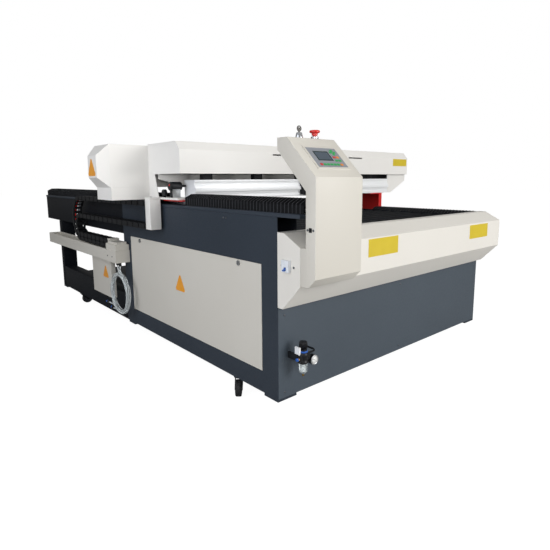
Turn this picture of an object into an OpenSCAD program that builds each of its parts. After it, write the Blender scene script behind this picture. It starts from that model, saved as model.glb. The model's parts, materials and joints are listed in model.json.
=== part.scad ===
// Flatbed carbon dioxide laser cutting machine with a travelling gantry.
// Millimetres, +Z up, X across the machine, Y from the operator's end to the rear.
// Heights are from the floor. Each sub-part is drawn from the base's front left
// corner, and placed() moves it to the middle of the machine's box.

/* [Base cabinet] */
// Width of the base across X
base_w = 1600; // [1400:10:1800]
// Length of the closed cabinet at the operator's end
base_l = 1420; // [1300:10:1500]
// Height of the sheet walls' lower edge above the floor
base_z = 98; // [94:1:110]
// Height of the left wall's top edge above the floor
wall_top = 817; // [800:1:840]
// Height of the right wall's top edge above the floor
right_wall_top = 760; // [740:1:780]
// Sheet thickness of the cabinet walls
sheet = 3; // [2:0.5:4]
// Height of the foot pads below the walls
pad_h = 11; // [8:1:12]
// Length of a foot pad along Y
pad_l = 85; // [70:1:100]
// Width of a foot pad along X
pad_w = 100; // [80:1:120]
// Radius of the bolt hole in each corner pad
bolt_r = 8; // [6:0.5:10]

/* [Side door] */
// Distance of the door from the front wall
door_y = 97; // [80:1:120]
// Wall left standing behind the door's rear edge
door_rear = 101; // [90:1:140]
// Height of the door's lower edge above the floor
door_z = 189; // [160:1:220]
// Height of the door
door_h = 439; // [380:1:440]
// Gap round the door in its opening
door_gap = 2; // [1:0.5:3]
// Overlap of the seating lip behind the door
door_lip = 5; // [3:0.5:6]
// Radius of a cam lock's barrel
lock_r = 8; // [6:0.5:10]
// Distance of the front lock from the door's front edge
lock_front = 149; // [100:1:200]
// Distance of the rear lock from the door's rear edge
lock_rear = 125; // [100:1:200]
// Distance of both locks below the door's top edge
lock_drop = 15; // [13:1:20]

/* [Rear frame] */
// Distance from the front wall to the rear end of the long beams
frame_l = 3046; // [3000:1:3100]
// Width of a long beam
beam_w = 100; // [80:1:110]
// Height of a long beam
beam_h = 182; // [170:1:183]
// Wall of the square tubes
tube_wall = 4; // [3:0.5:6]
// Distance from the front wall to the rear posts
post_y = 2656; // [2600:1:2680]
// Depth of a rear post along Y
post_l = 60; // [50:1:70]
// Width of a lower side rail
low_rail_w = 80; // [72:1:90]
// Height of a lower side rail
low_rail_h = 164; // [120:1:180]
// Length of the shelf plate behind the cabinet
shelf_l = 920; // [600:10:1100]
// Thickness of the shelf plate
shelf_t = 4; // [3:0.5:6]
// Height of a cross member
cross_h = 50; // [40:1:54]
// Depth of a cross member along Y
cross_d = 40; // [30:1:50]
// Number of cross members
cross_n = 4; // [3:1:6]

/* [Guide rails and bellows] */
// How much lower the right guide rail lies than the left one
rail_drop = 122; // [115:1:130]
// How far the left rail base reaches in front of the front wall
rail_front = 120; // [100:1:140]
// Width of a rail base
rail_base_w = 134; // [130:1:136]
// Thickness of a rail base
rail_base_h = 16; // [12:1:20]
// Width of the guide rail's head
rail_w = 20; // [18:1:24]
// Height of the guide rail
rail_h = 14; // [12:0.5:15]
// Width of a bellows
bellows_w = 120; // [110:1:122]
// Height of a bellows above the rail base
bellows_h = 54; // [48:1:58]
// Depth of a pleat
pleat_depth = 9; // [6:0.5:12]
// Length of a pleat along Y
pleat_pitch = 20; // [16:1:30]

/* [Bed] */
// Clearance between a bellows and the bed's side rail
bed_gap = 8; // [5:1:20]
// Distance of the bed from the front wall
bed_y = 40; // [30:1:60]
// Length of the bed
bed_l = 2620; // [2400:10:2640]
// Height of the bed's support rails
bed_rail_h = 58; // [50:1:58]
// Width of the support rail's lower leg
bed_leg = 24; // [20:1:30]
// Thickness of the support rails
bed_rail_t = 4; // [3:0.5:5]
// Height of a knife slat
slat_h = 52; // [40:1:53]
// Thickness of a knife slat
slat_t = 3; // [2:0.5:4]
// Distance from slat to slat
slat_pitch = 75; // [60:5:100]

/* [Apron and column] */
// How far the apron stands out from the front wall
apron_d = 122; // [110:1:130]
// Height of the apron's lower edge above the floor
apron_z = 472; // [450:1:490]
// Height of the apron's upper edge above the floor
apron_top = 762; // [755:1:780]
// Thickness of the apron's sheet
apron_t = 2.5; // [2:0.5:3]
// Width of the column
column_w = 246; // [235:1:280]
// How far the column stands out from the front wall
column_d = 198; // [190:1:210]
// Height of the column's top above the floor
column_top = 1104; // [1080:1:1130]
// Depth of the column's lower part
column_t = 48; // [44:1:60]
// Length of the column's flat top along Y
column_roof = 52; // [46:1:60]

/* [Control panel] */
// Width of the panel frame
panel_w = 170; // [160:1:180]
// Height of the panel frame along the sloping face
panel_h = 117; // [110:1:120]
// Width of the frame's border
panel_rim = 9; // [6:0.5:10]
// Width of the display
display_w = 78; // [60:1:80]
// Height of the display
display_h = 49; // [40:1:50]
// Radius of the emergency stop's head
estop_r = 20; // [18:0.5:22]
// Press travel of the emergency stop
estop_travel = 4; // [3:0.5:5]
// Radius of the key switch's bezel
key_bezel_r = 15; // [13:0.5:17]
// Radial clearance of turning and sliding fits
fit = 0.05; // [0.02:0.01:0.08]

/* [Gantry] */
// Distance from the front wall to the gantry cover
cover_y = 681; // [670:1:690]
// Depth of the gantry cover
cover_d = 329; // [320:1:340]
// Height of the gantry cover's lower edge above the floor
cover_z = 985; // [984:1:990]
// Height of the gantry cover
cover_h = 154; // [140:1:170]
// Overhang of the cover on the left of the base
cover_left = 15; // [12:1:20]
// Overhang of the cover on the right of the base
cover_right = 260; // [250:1:270]
// Thickness of the covers' sheet
cover_t = 2; // [1.5:0.25:3]
// Depth of the cross beam along Y
xbeam_d = 100; // [96:1:110]
// Height of the cross beam
xbeam_h = 97; // [94:1:97]
// Distance of the cross beam's left end from the base's left side
xbeam_x = 75; // [72:1:80]
// Length of the cross beam
xbeam_l = 1577; // [1570:1:1590]
// Thickness of a gantry foot plate
foot_t = 8; // [6:0.5:10]
// Height of a carriage block on the guide rail
block_h = 14; // [12:0.5:15]
// Height of the carriage blocks' underside above the rail base
block_lift = 3; // [2:0.5:4]

/* [Laser tube and housing] */
// Length of the laser tube
tube_l = 1600; // [1400:10:1620]
// Radius of the laser tube
tube_r = 40; // [30:1:45]
// Depth of the tube housing along Y
housing_d = 194; // [180:1:200]
// Height of the tube housing
housing_h = 215; // [200:1:220]
// Overhang of the housing's straight part on the left of the base
housing_left = 219; // [210:1:230]
// Length of the housing's tapered end
housing_nose = 61; // [50:1:70]

/* [Cutting head] */
// Radius of the focus tube
focus_r = 14; // [12:0.5:16]
// Width of the head carriage
head_w = 120; // [100:1:140]
// Distance of the head from the base's left side
head_x = 850; // [820:1:900]
// Height of the nozzle's tip above the slats
nozzle_gap = 22; // [20:1:30]

/* [Casters] */
// Diameter of a caster wheel
wheel_d = 75; // [70:1:76]
// Width of a caster wheel
wheel_w = 28; // [24:1:32]
// Radius of a caster's axle
axle_r = 5; // [4:0.5:6]
// Distance from the swivel axis to the axle
trail = 28; // [24:1:32]
// Distance of a caster's swivel axis from the base's side
caster_x = 42; // [40:1:60]
// Distance from the front wall to the front swivel axis
caster_front = 315; // [260:1:400]
// Distance from the front wall to the rear swivel axis
caster_rear = 2377; // [2250:1:2480]
// Size of a caster's square plate
caster_plate = 60; // [56:1:66]

/* [Cable chain side] */
// Distance from the front wall to the cable tray
tray_y = 1346; // [1330:1:1360]
// Length of the cable tray
tray_l = 1354; // [1340:1:1370]
// Width of the cable tray
tray_w = 87; // [80:1:95]
// Height of the cable tray
tray_h = 73; // [60:1:75]
// Height of the cable tray's underside above the floor
tray_z = 470; // [460:1:480]
// Width of an energy chain
chain_w = 60; // [50:1:64]
// Height of a chain link
link_h = 28; // [24:1:30]
// Length from link to link
link_pitch = 36; // [30:1:40]
// Bend radius of the outer chain at its middle
chain_r = 119; // [116:1:122]
// Bend radius of the inner chain at its middle
inner_chain_r = 44; // [36:1:48]
// Rear end of the outer chain's bend, from the front wall
chain_end = 2130; // [2050:1:2150]
// Radius of the hose hank at its middle
hank_r = 116; // [100:1:120]
// Radius of the hank's bundle
bundle_r = 17; // [14:0.5:20]
// Diameter of a hose
hose_d = 8; // [6:0.5:10]

/* [Hidden] */
$fn = 48;
eps = 0.1;

slate = "#4d565f";
black = "#1b1c1e";
white = "#e6e2da";
red = "#c62222";
steel = "#b9bcc0";

// Machine's box, for its middle
nose_x = -(housing_left + housing_nose);
right_x = base_w + cover_right;
mid_x = (nose_x + right_x) / 2;
mid_y = (frame_l - column_d) / 2;

// Base
door_l = base_l - door_y - door_rear;
beam_z = wall_top - beam_h;
right_beam_z = beam_z - rail_drop;
beam_end = frame_l;
low_cross_h = 92;
low_cross_inset = 10;
cross_z = beam_z + 5;
bed_z = cross_z + cross_h;
slat_z = bed_z + bed_rail_t;
slat_top = slat_z + slat_h;
low_rail_top = base_z + low_rail_h;
pad_ys = [0, base_l - pad_l - 15, post_y + post_l - pad_l];
bolt_y = pad_l / 2;

// Guide rails, seen from the left one, which stands on the left wall
rail_x = rail_base_w / 2 + 5;
bed_x = rail_x + bellows_w / 2 + bed_gap;
rail_z = wall_top + rail_base_h;
rail_end_gap = 20;
bellows_top = rail_z + bellows_h;
bellows_gap = 8;

// Gantry
gantry_y = cover_y + 19;
block_z = rail_z + block_lift;
foot_z = block_z + block_h;
xbeam_z = foot_z + foot_t;
xbeam_top = xbeam_z + xbeam_h;
cover_x = -cover_left;
cover_back = cover_y + cover_d;
cover_top = cover_z + cover_h;
foot_l = 188;
plate_y = gantry_y + 11;
plate_l = 271;
plate_t = 10;
plate_end = plate_y + plate_l;
front_bellows_end = gantry_y - 2;
rear_bellows_start = plate_end + 2;
housing_top = cover_top - 6;
housing_z = housing_top - housing_h;
tube_y = cover_back + housing_d / 2;
tube_z = housing_z + housing_h / 2;

// Sloping face of the column
slope_z = column_top - (column_d - column_roof - 2) * 0.986;
slope_angle = atan2(column_top - slope_z, column_d - column_roof - 2);
panel_x = 40;
panel_up = 39;
plate_thin = 3;

module placed() translate([-mid_x, -mid_y, 0]) children();
// Box from its lower corner to its upper corner
module block(low, high) translate(low) cube(high - low);
// Both sides of the machine: the right one is a mirror image, lowered by drop
module both_sides(drop = 0) {
    children();
    translate([base_w, 0, -drop]) mirror([1, 0, 0]) children();
}
// Square tube along Y, open at its front end and closed at its rear end
module tube_y_bar(low, high, wall) difference() {
    block(low, high);
    block(low + [wall, -eps, wall], high - [wall, wall, wall]);
}
module cyl_x(x0, x1, r) translate([x0, 0, 0]) rotate([0, 90, 0]) cylinder(h = x1 - x0, r = r);
module cyl_y(y0, y1, r) translate([0, y0, 0]) rotate([-90, 0, 0]) cylinder(h = y1 - y0, r = r);
// Outline in Y and Z, drawn out along X
module along_x(x0, x1) {
    translate([x0, 0, 0]) rotate([90, 0, 90]) linear_extrude(x1 - x0) children();
}

module left_wall() color(slate) placed() {
    open_low = [0, door_y - door_gap, door_z - door_gap];
    open_high = [0, door_y + door_l + door_gap, door_z + door_h + door_gap];
    inner_lip = [0, 1, 1] * (door_gap + door_lip);
    difference() {
        union() {
            block([0, 0, base_z], [sheet, base_l, wall_top]);
            block([sheet, 0, 0] + open_low - [0, door_lip, door_lip],
                [2 * sheet, 0, 0] + open_high + [0, door_lip, door_lip]);
        }
        block(open_low - [eps, 0, 0], open_high + [sheet, 0, 0]);
        block(open_low + inner_lip + [sheet - eps, 0, 0],
            open_high - inner_lip + [2 * sheet + eps, 0, 0]);
    }
}

module right_wall() color(slate) placed()
    block([base_w - sheet, 0, base_z], [base_w, base_l, right_wall_top]);

module front_panel() color(slate) placed()
    block([sheet, 0, base_z], [base_w - sheet, sheet, right_wall_top]);

module floor_pan() color(slate) placed() difference() {
    block([sheet, sheet, base_z], [base_w - sheet, base_l, base_z + sheet]);
    for (x = [pad_w / 2, base_w - pad_w / 2]) translate([x, bolt_y, base_z - eps])
        cylinder(h = sheet + 2 * eps, r = bolt_r + 1);
}

// Six pads: the four at the corners have a bolt hole for a levelling foot
module foot_pads() color(slate) placed() both_sides() for (i = [0 : 2]) {
    corner = i != 1;
    hole_y = i == 0 ? bolt_y : pad_ys[i] + pad_l - bolt_y;
    difference() {
        block([0, pad_ys[i], base_z - pad_h], [pad_w, pad_ys[i] + pad_l, base_z]);
        if (corner) translate([pad_w / 2, hole_y, base_z - pad_h - eps])
            cylinder(h = pad_h + 2 * eps, r = bolt_r);
    }
}

lock_ys = [door_y + lock_front, door_y + door_l - lock_rear];
lock_z = door_z + door_h - lock_drop;

module left_door() color(white) placed() difference() {
    block([0, door_y, door_z], [sheet, door_y + door_l, door_z + door_h]);
    for (y = lock_ys) translate([0, y, lock_z]) cyl_x(-eps, sheet + eps, lock_r + fit);
}

// Cam lock: domed head outside, barrel through the door, cam behind the lip
module cam_lock(y) color(steel) placed() translate([0, y, lock_z]) difference() {
    union() {
        cyl_x(-4, -0.3, lock_r + 3);
        cyl_x(-0.5, 2 * sheet + 2.3, lock_r);
        block([2 * sheet + 0.3, -lock_r, 0], [2 * sheet + 2.3, lock_r, lock_drop + 4]);
    }
    block([-4 - eps, -1, -5], [-2.5, 1, 5]);
}
module lock_front() cam_lock(lock_ys[0]);
module lock_rear() cam_lock(lock_ys[1]);

module side_beams() color(slate) placed() {
    tube_y_bar([sheet, sheet, beam_z], [sheet + beam_w, beam_end, wall_top], tube_wall);
    tube_y_bar([base_w - sheet - beam_w, sheet, right_beam_z],
        [base_w - sheet, beam_end, right_beam_z + beam_h], tube_wall);
}

module rear_posts() color(slate) placed() {
    difference() {
        block([0, post_y, base_z], [beam_w, post_y + post_l, beam_z]);
        block([tube_wall, post_y + tube_wall, base_z - eps],
            [beam_w - tube_wall, post_y + post_l - tube_wall, beam_z + eps]);
    }
    difference() {
        block([base_w - beam_w, post_y, base_z], [base_w, post_y + post_l, right_beam_z]);
        block([base_w - beam_w + tube_wall, post_y + tube_wall, base_z - eps],
            [base_w - tube_wall, post_y + post_l - tube_wall, right_beam_z + eps]);
    }
}

module low_rails() color(slate) placed() both_sides()
    tube_y_bar([0, base_l, base_z], [low_rail_w, post_y, low_rail_top], tube_wall);

module rear_shelf() color(black) placed()
    block([low_rail_w, base_l, low_rail_top - shelf_t],
        [base_w - low_rail_w, base_l + shelf_l, low_rail_top]);

// Bars between the long beams under the bed, and one between the rear posts' feet
module cross_members() color(slate) placed() {
    for (i = [0 : cross_n - 1]) {
        y = bed_y + i * (bed_l - cross_d) / (cross_n - 1);
        block([sheet + beam_w, y, cross_z],
            [base_w - sheet - beam_w, y + cross_d, cross_z + cross_h]);
    }
    block([beam_w, post_y + low_cross_inset, base_z],
        [base_w - beam_w, post_y + post_l - low_cross_inset, base_z + low_cross_h]);
}

// Angle profiles along both sides, on which the slats' ends lie
module bed_rails() color(slate) placed() both_sides() union() {
    block([bed_x, bed_y, bed_z], [bed_x + bed_rail_t, bed_y + bed_l, bed_z + bed_rail_h]);
    block([bed_x, bed_y, bed_z], [bed_x + bed_leg, bed_y + bed_l, bed_z + bed_rail_t]);
}

module slats() color(steel) placed() {
    n = floor((bed_l - 2 * slat_pitch) / slat_pitch);
    first = bed_y + (bed_l - n * slat_pitch) / 2;
    for (i = [0 : n]) block([bed_x + bed_rail_t, first + i * slat_pitch, slat_z],
        [base_w - bed_x - bed_rail_t, first + i * slat_pitch + slat_t, slat_top]);
}

module rail_bases() color(slate) placed() {
    block([0, -rail_front, wall_top], [rail_base_w, beam_end, rail_z]);
    block([base_w - sheet - rail_base_w, sheet, wall_top - rail_drop],
        [base_w - sheet, beam_end, rail_z - rail_drop]);
}

// Guide rail with waisted sides
module rail_profile() polygon([[-rail_w / 2, 0], [rail_w / 2, 0], [rail_w / 2, rail_h * 0.3],
    [rail_w * 0.35, rail_h * 0.5], [rail_w / 2, rail_h * 0.7], [rail_w / 2, rail_h],
    [-rail_w / 2, rail_h], [-rail_w / 2, rail_h * 0.7], [-rail_w * 0.35, rail_h * 0.5],
    [-rail_w / 2, rail_h * 0.3]]);
module rail_bar(y0, y1) translate([rail_x, y1, rail_z]) rotate([90, 0, 0])
    linear_extrude(y1 - y0) rail_profile();

module guide_rails() color(steel) placed() {
    rail_bar(rail_end_gap - rail_front, beam_end - rail_end_gap);
    translate([base_w, 0, -rail_drop]) mirror([1, 0, 0])
        rail_bar(sheet + rail_end_gap, beam_end - rail_end_gap);
}

// Pleated cover from y0 to y1: folds along Y, open over the guide rail
module pleats(y0, y1) {
    n = floor((y1 - y0) / pleat_pitch);
    step = (y1 - y0) / n;
    top = bellows_top - rail_z;
    folds = [for (i = [0 : n]) for (p = [[0, top - pleat_depth], [0.5, top]])
        if (i < n || p[0] == 0) [y0 + (i + p[0]) * step, p[1]]];
    translate([rail_x, 0, rail_z]) difference() {
        along_x(-bellows_w / 2, bellows_w / 2)
            polygon(concat([[y0, 0]], folds, [[y1, 0]]));
        block([-rail_w / 2 - bellows_gap, y0 - eps, -eps],
            [rail_w / 2 + bellows_gap, y1 + eps, rail_h + bellows_gap]);
    }
}

module front_bellows() color(black) placed() {
    pleats(-rail_front, front_bellows_end);
    translate([base_w, 0, -rail_drop]) mirror([1, 0, 0]) pleats(sheet, front_bellows_end);
}
module rear_bellows() color(black) placed() both_sides(rail_drop)
    pleats(rear_bellows_start, beam_end);

// Apron: a folded sheet with closed ends, open towards the front wall
apron_low_y = 28;
apron_top_y = 38;
apron_bend_low = apron_z + 99;
apron_bend_top = apron_top - 46;
module apron_outline() polygon([[0, apron_top], [-apron_top_y, apron_top - 1],
    [-apron_d, apron_bend_top], [-apron_d, apron_bend_low], [-apron_low_y, apron_z], [0, apron_z]]);
module apron() color(white) placed() difference() {
    along_x(0, base_w) apron_outline();
    along_x(apron_t, base_w - apron_t) polygon([[eps, apron_top - apron_t],
        [-apron_top_y, apron_top - 1 - apron_t], [-apron_d + apron_t, apron_bend_top - apron_t],
        [-apron_d + apron_t, apron_bend_low + apron_t], [-apron_low_y, apron_z + 1.4 * apron_t],
        [eps, apron_z + apron_t]]);
}

// Column: its side outline has the sloping panel face and an overhanging head
column_low = apron_bend_low + 5;
column_back = column_d - column_t;
column_chin = 35;
head_under = column_top - 43;
head_low = head_under - (column_back - 2);
module column() color(white) placed() union() {
    along_x(0, column_w) polygon([
        [-apron_d, column_low], [-column_d + column_chin, column_low],
        [-column_d, column_low + column_chin], [-column_d, slope_z],
        [-column_roof - 2, column_top], [-2, column_top], [-2, head_under],
        [-column_back, head_low], [-column_back, apron_bend_top], [-apron_d, apron_bend_top]]);
    on_slope() difference() {
        translate(panel_low - [0, 0, eps]) cube([panel_w, panel_h, plate_thin + eps]);
        translate(inner_low - [0, 0, eps]) cube(inner_size + [0, 0, 2 * eps]);
    }
}

// Local frame of the sloping face: X across, Y up the slope, Z out of it
module on_slope() translate([0, -column_d, slope_z]) rotate([slope_angle, 0, 0]) children();

panel_low = [panel_x, panel_up, 0];
inner_low = panel_low + [panel_rim, panel_rim, 0];
inner_size = [panel_w - 2 * panel_rim, panel_h - 2 * panel_rim, plate_thin];
display_low = inner_low + [22, inner_size[1] - display_h - 18, plate_thin - 1];

// Membrane panel with raised keys and a pocket for the display
key_size = [12, 8, 1];
key_step = 17.5;
key_side = 30;
key_rise = 16;
module panel_key(col, up) translate(inner_low + [15 + col * key_step, up, plate_thin - eps])
    cube(key_size + [0, 0, eps]);
module control_panel() color("#8b8d93") placed() on_slope() union() {
    difference() {
        translate(inner_low) cube(inner_size);
        translate(display_low) cube([display_w, display_h, 2]);
    }
    for (col = [0 : 6]) panel_key(col, 8);
    for (row = [0 : 3]) for (col = [5, 6]) panel_key(col + 0.3, key_side + key_rise * row);
}
module display() color("#26302e") placed() on_slope()
    translate(display_low) cube([display_w, display_h, 1]);

// Emergency stop on the column's top
estop_x = 166;
top_y = -28;
stem_r = 8;
collar_h = 10;
module estop_button() color(red) placed() translate([estop_x, top_y, column_top])
    rotate_extrude() polygon([[0, estop_travel + 0.5], [stem_r, estop_travel + 0.5],
        [stem_r, collar_h + estop_travel + 0.5], [estop_r - 3, collar_h + estop_travel + 0.5],
        [estop_r, collar_h + estop_travel + 6], [estop_r, collar_h + estop_travel + 12],
        [estop_r - 2, collar_h + estop_travel + 17], [estop_r - 8, collar_h + estop_travel + 20],
        [0, collar_h + estop_travel + 20]]);

// Key switch beside it
key_x = 85;
key_r = 7;
bezel_h = 9;
// Collars of both, on the column's flat top
module switch_collars() color(steel) placed() {
    translate([estop_x, top_y, column_top]) difference() {
        cylinder(h = collar_h, r = estop_r - 4);
        translate([0, 0, -eps]) cylinder(h = collar_h + 2 * eps, r = stem_r + fit);
    }
    translate([key_x, top_y, column_top]) difference() {
        cylinder(h = bezel_h, r1 = key_bezel_r, r2 = key_bezel_r - 3);
        translate([0, 0, -eps]) cylinder(h = bezel_h + 2 * eps, r = key_r + fit);
    }
}
module switch_key() color(steel) placed() translate([key_x, top_y, column_top]) union() {
    translate([0, 0, 0.3]) cylinder(h = bezel_h, r = key_r);
    block([-4, -1.2, bezel_h], [4, 1.2, 26]);
    difference() {
        translate([0, 0, 35]) cyl_y(-1.2, 1.2, 11);
        translate([0, 0, 40]) cyl_y(-2, 2, 3);
    }
}

// Main breaker on the apron's left end
breaker_low = [-14, -75, 620];
breaker_high = [0, -37, 664];
toggle_x = -8;
toggle_z = 632;
toggle_r = 5;
toggle_ys = [-62, -50];
module breaker() color("#dfe3e8") placed() difference() {
    block(breaker_low, breaker_high);
    translate([toggle_x, 0, toggle_z]) {
        cyl_y(toggle_ys[0], toggle_ys[1], toggle_r + fit);
        block([-10, toggle_ys[0], -7], [0, toggle_ys[1], 7]);
    }
}
module breaker_toggle() color("#2a62b8") placed() translate([toggle_x, 0, toggle_z]) union() {
    cyl_y(toggle_ys[0] + 0.3, toggle_ys[1] - 0.3, toggle_r);
    rotate([0, -20, 0]) block([-15, toggle_ys[0] + 0.3, -2], [0, toggle_ys[1] - 0.3, 2]);
}

// Air regulator with filter bowl and gauge on the front panel
reg_x = 78;
reg_y = -60;
reg_z = 282;
reg_arm = 26;
module at_regulator() translate([reg_x, reg_y, reg_z]) children();
module regulator() color("#2b3d63") placed() at_regulator() difference() {
    union() {
        translate([0, 0, -32]) cylinder(h = 44, r = 20);
        translate([0, 0, 12]) cylinder(h = 14, r = 15);
        block([-34, -12, -22], [reg_arm, 12, 4]);
        block([-34, 0, -26], [-20, -reg_y, 8]);
    }
    translate([0, 0, 16]) cylinder(h = 20, r = 5 + fit);
}
module regulator_knob() color(black) placed() at_regulator() union() {
    translate([0, 0, 16.3]) cylinder(h = 12, r = 5);
    translate([0, 0, 26.3]) cylinder(h = 5, r = 14);
    translate([0, 0, 31.3]) cylinder(h = 23.7, r1 = 17, r2 = 15);
}
module filter_bowl() color("#c9d2d6") placed() at_regulator() rotate_extrude() polygon([
    [0, -85], [4, -85], [4, -76], [11, -74], [17, -66], [17, -32], [0, -32]]);
module pressure_gauge() color(black) placed() at_regulator() union() {
    translate([47, 0, -28]) cyl_y(-16, 4, 20);
    translate([reg_arm, 0, -14]) cyl_x(0, 14, 5);
}
module air_hose() color(black) placed() at_regulator() translate([reg_arm, 0, 0]) {
    translate([0, 6, -2]) union() {
        cyl_x(0, 30, 4);
        translate([30, 24, 0]) rotate([0, 0, -90]) rotate_extrude(angle = 90)
            translate([24, 0]) circle(r = 4);
        translate([54, 0, 0]) cyl_y(24, -reg_y - 6, 4);
    }
}

// Cross beam: an extrusion with grooves and a guide rib along its front face, closed on the left
rib_h = 20;
rib_d = 10;
groove_h = 12;
groove_d = 2;
groove_inset = 14;
rib_z = xbeam_z + 37;
module cross_beam() color("#b4b7ba") placed() difference() {
    union() {
        block([xbeam_x, gantry_y, xbeam_z], [xbeam_x + xbeam_l, gantry_y + xbeam_d, xbeam_top]);
        block([xbeam_x, gantry_y - rib_d, rib_z], [xbeam_x + xbeam_l, gantry_y, rib_z + rib_h]);
    }
    block([xbeam_x + tube_wall, gantry_y + tube_wall, xbeam_z + tube_wall],
        [xbeam_x + xbeam_l + eps, gantry_y + xbeam_d - tube_wall, xbeam_top - tube_wall]);
    for (z = [xbeam_z + groove_inset, xbeam_top - 2 * groove_h])
        block([xbeam_x - eps, gantry_y - eps, z],
            [xbeam_x + xbeam_l + eps, gantry_y + groove_d, z + groove_h]);
}

foot_y = gantry_y + 2;
foot_x = 2;
foot_w = 128;
foot_web = 8;
right_foot_z = foot_z - rail_drop;
leg_x = base_w - sheet - 5;
leg_flange = 32;
// Left foot is a plate on its blocks; the right one is a tall bracket with flanges
module gantry_feet() color(red) placed() {
    block([foot_x, foot_y, foot_z], [foot_x + foot_w, foot_y + foot_l, xbeam_z]);
    union() {
        block([leg_x - foot_w, foot_y, right_foot_z], [leg_x, foot_y + foot_l, right_foot_z + foot_t]);
        block([leg_x - foot_web, foot_y, right_foot_z], [leg_x, foot_y + foot_l, xbeam_z]);
        for (y = [foot_y, foot_y + foot_l - foot_web])
            block([leg_x - leg_flange, y, right_foot_z], [leg_x, y + foot_web, xbeam_z]);
        block([leg_x - foot_w, foot_y, xbeam_z - foot_t], [leg_x, foot_y + foot_l, xbeam_z]);
    }
}

block_w = 44;
block_l = 60;
block_inset = 10;
run_gap = 0.3;
module carriage_blocks() color(steel) placed() both_sides(rail_drop)
    for (y = [foot_y + block_inset, foot_y + foot_l - block_inset - block_l]) difference() {
        block([rail_x - block_w / 2, y, block_z], [rail_x + block_w / 2, y + block_l, foot_z]);
        block([rail_x - rail_w / 2 - run_gap, y - eps, block_z - eps],
            [rail_x + rail_w / 2 + run_gap, y + block_l + eps, rail_z + rail_h + run_gap]);
    }

post_x = [-75, -15];
post_ys = [890, 945];
post_low = 704;
gusset_t = 3;
gusset_toe = [37, 44];
fin_y = 900;
fin_x = 195;
fin_drops = [80, 25];
low_run_rise = 129;
low_run_z = tray_z + low_run_rise;
plate_top = xbeam_z + plate_t;
end_plate_y = [909, 943];
box_gap = 4;
low_box_z = low_run_z + 2 * chain_r + link_h / 2 + box_gap;
// Plate under the drive, right gusset, left fin, end plate, and an open box under the tube housing
module gantry_plates() color(white) placed() {
    union() {
        block([cover_x, plate_y, xbeam_z], [xbeam_x, plate_end, xbeam_z + plate_t]);
        block([post_x[0], post_ys[0], xbeam_z], [cover_x, post_ys[1], xbeam_z + plate_t]);
    }
    translate([0, gantry_y + gusset_t, 0]) rotate([90, 0, 0]) linear_extrude(gusset_t)
        polygon([[xbeam_x + xbeam_l, cover_z], [right_x, cover_z], [right_x, cover_z - gusset_toe[1]],
            [xbeam_x + xbeam_l + gusset_toe[0], xbeam_z], [xbeam_x + xbeam_l, xbeam_z]]);
    translate([0, fin_y + gusset_t, 0]) rotate([90, 0, 0]) linear_extrude(gusset_t)
        polygon([[cover_x, cover_z], [fin_x, cover_z], [fin_x, cover_z - fin_drops[0]],
            [cover_x, cover_z - fin_drops[1]]]);
    along_x(cover_x, cover_x + gusset_t) polygon([[end_plate_y[0], plate_top], [cover_back, plate_top],
        [cover_back, cover_z], [end_plate_y[1], cover_z]]);
    difference() {
        block([-housing_left, cover_back, low_box_z], [cover_x, cover_back + housing_d, housing_z]);
        block([-housing_left + cover_t, cover_back + cover_t, low_box_z + cover_t],
            [cover_x - cover_t, cover_back + housing_d - cover_t, housing_z + eps]);
    }
}

module chain_post() color(white) placed()
    block([post_x[0], post_ys[0], post_low], [post_x[1], post_ys[1], xbeam_z]);

cover_bevel = [33, 40];
slot_h = 7;
slot_z = cover_z + 100;
slot_xs = [[563, 623], [1203, 1337]];
// Outline of the cover, moved inwards by t
module cover_outline(t) let (low = cover_z - (t > 0 ? eps : 0), turn = t * 0.4) polygon([
    [cover_y + t, low], [cover_y + t, cover_top - cover_bevel[1] - turn],
    [cover_y + cover_bevel[0] + turn, cover_top - t], [cover_back - t, cover_top - t],
    [cover_back - t, low]]);
// Long cover: a folded hood with closed ends, open below
module long_cover() color(white) placed() difference() {
    along_x(cover_x, right_x) cover_outline(0);
    along_x(cover_x + cover_t, right_x - cover_t) cover_outline(cover_t);
    for (x = slot_xs)
        block([x[0], cover_y - eps, slot_z], [x[1], cover_y + cover_t + eps, slot_z + slot_h]);
}

bed_t = 4;
bracket_n = 5;
bracket_w = 60;
bracket_d = 30;
bracket_inset = 90;
module cover_bed() color(black) placed() union() {
    block([cover_x + cover_t, cover_y + cover_t, cover_z],
        [right_x - cover_t, cover_back - cover_t, cover_z + bed_t]);
    for (i = [0 : bracket_n - 1]) {
        x = xbeam_x + bracket_inset + i * (xbeam_l - bracket_w - 2 * bracket_inset) / (bracket_n - 1);
        block([x, gantry_y + xbeam_d - bracket_d, xbeam_top],
            [x + bracket_w, gantry_y + xbeam_d, cover_z + eps]);
    }
}

tube_overhang = 119;
housing_x1 = tube_l - tube_overhang;
nose_front = 20;
nose_d = 115;
nose_ys = [cover_back + nose_front, cover_back + nose_front + nose_d];
nose_drop = 56;
nose_h = 108;
nose_zs = [housing_top - nose_drop - nose_h, housing_top - nose_drop];
saddle_w = 30;
beam_hole_r = 15;
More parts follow.
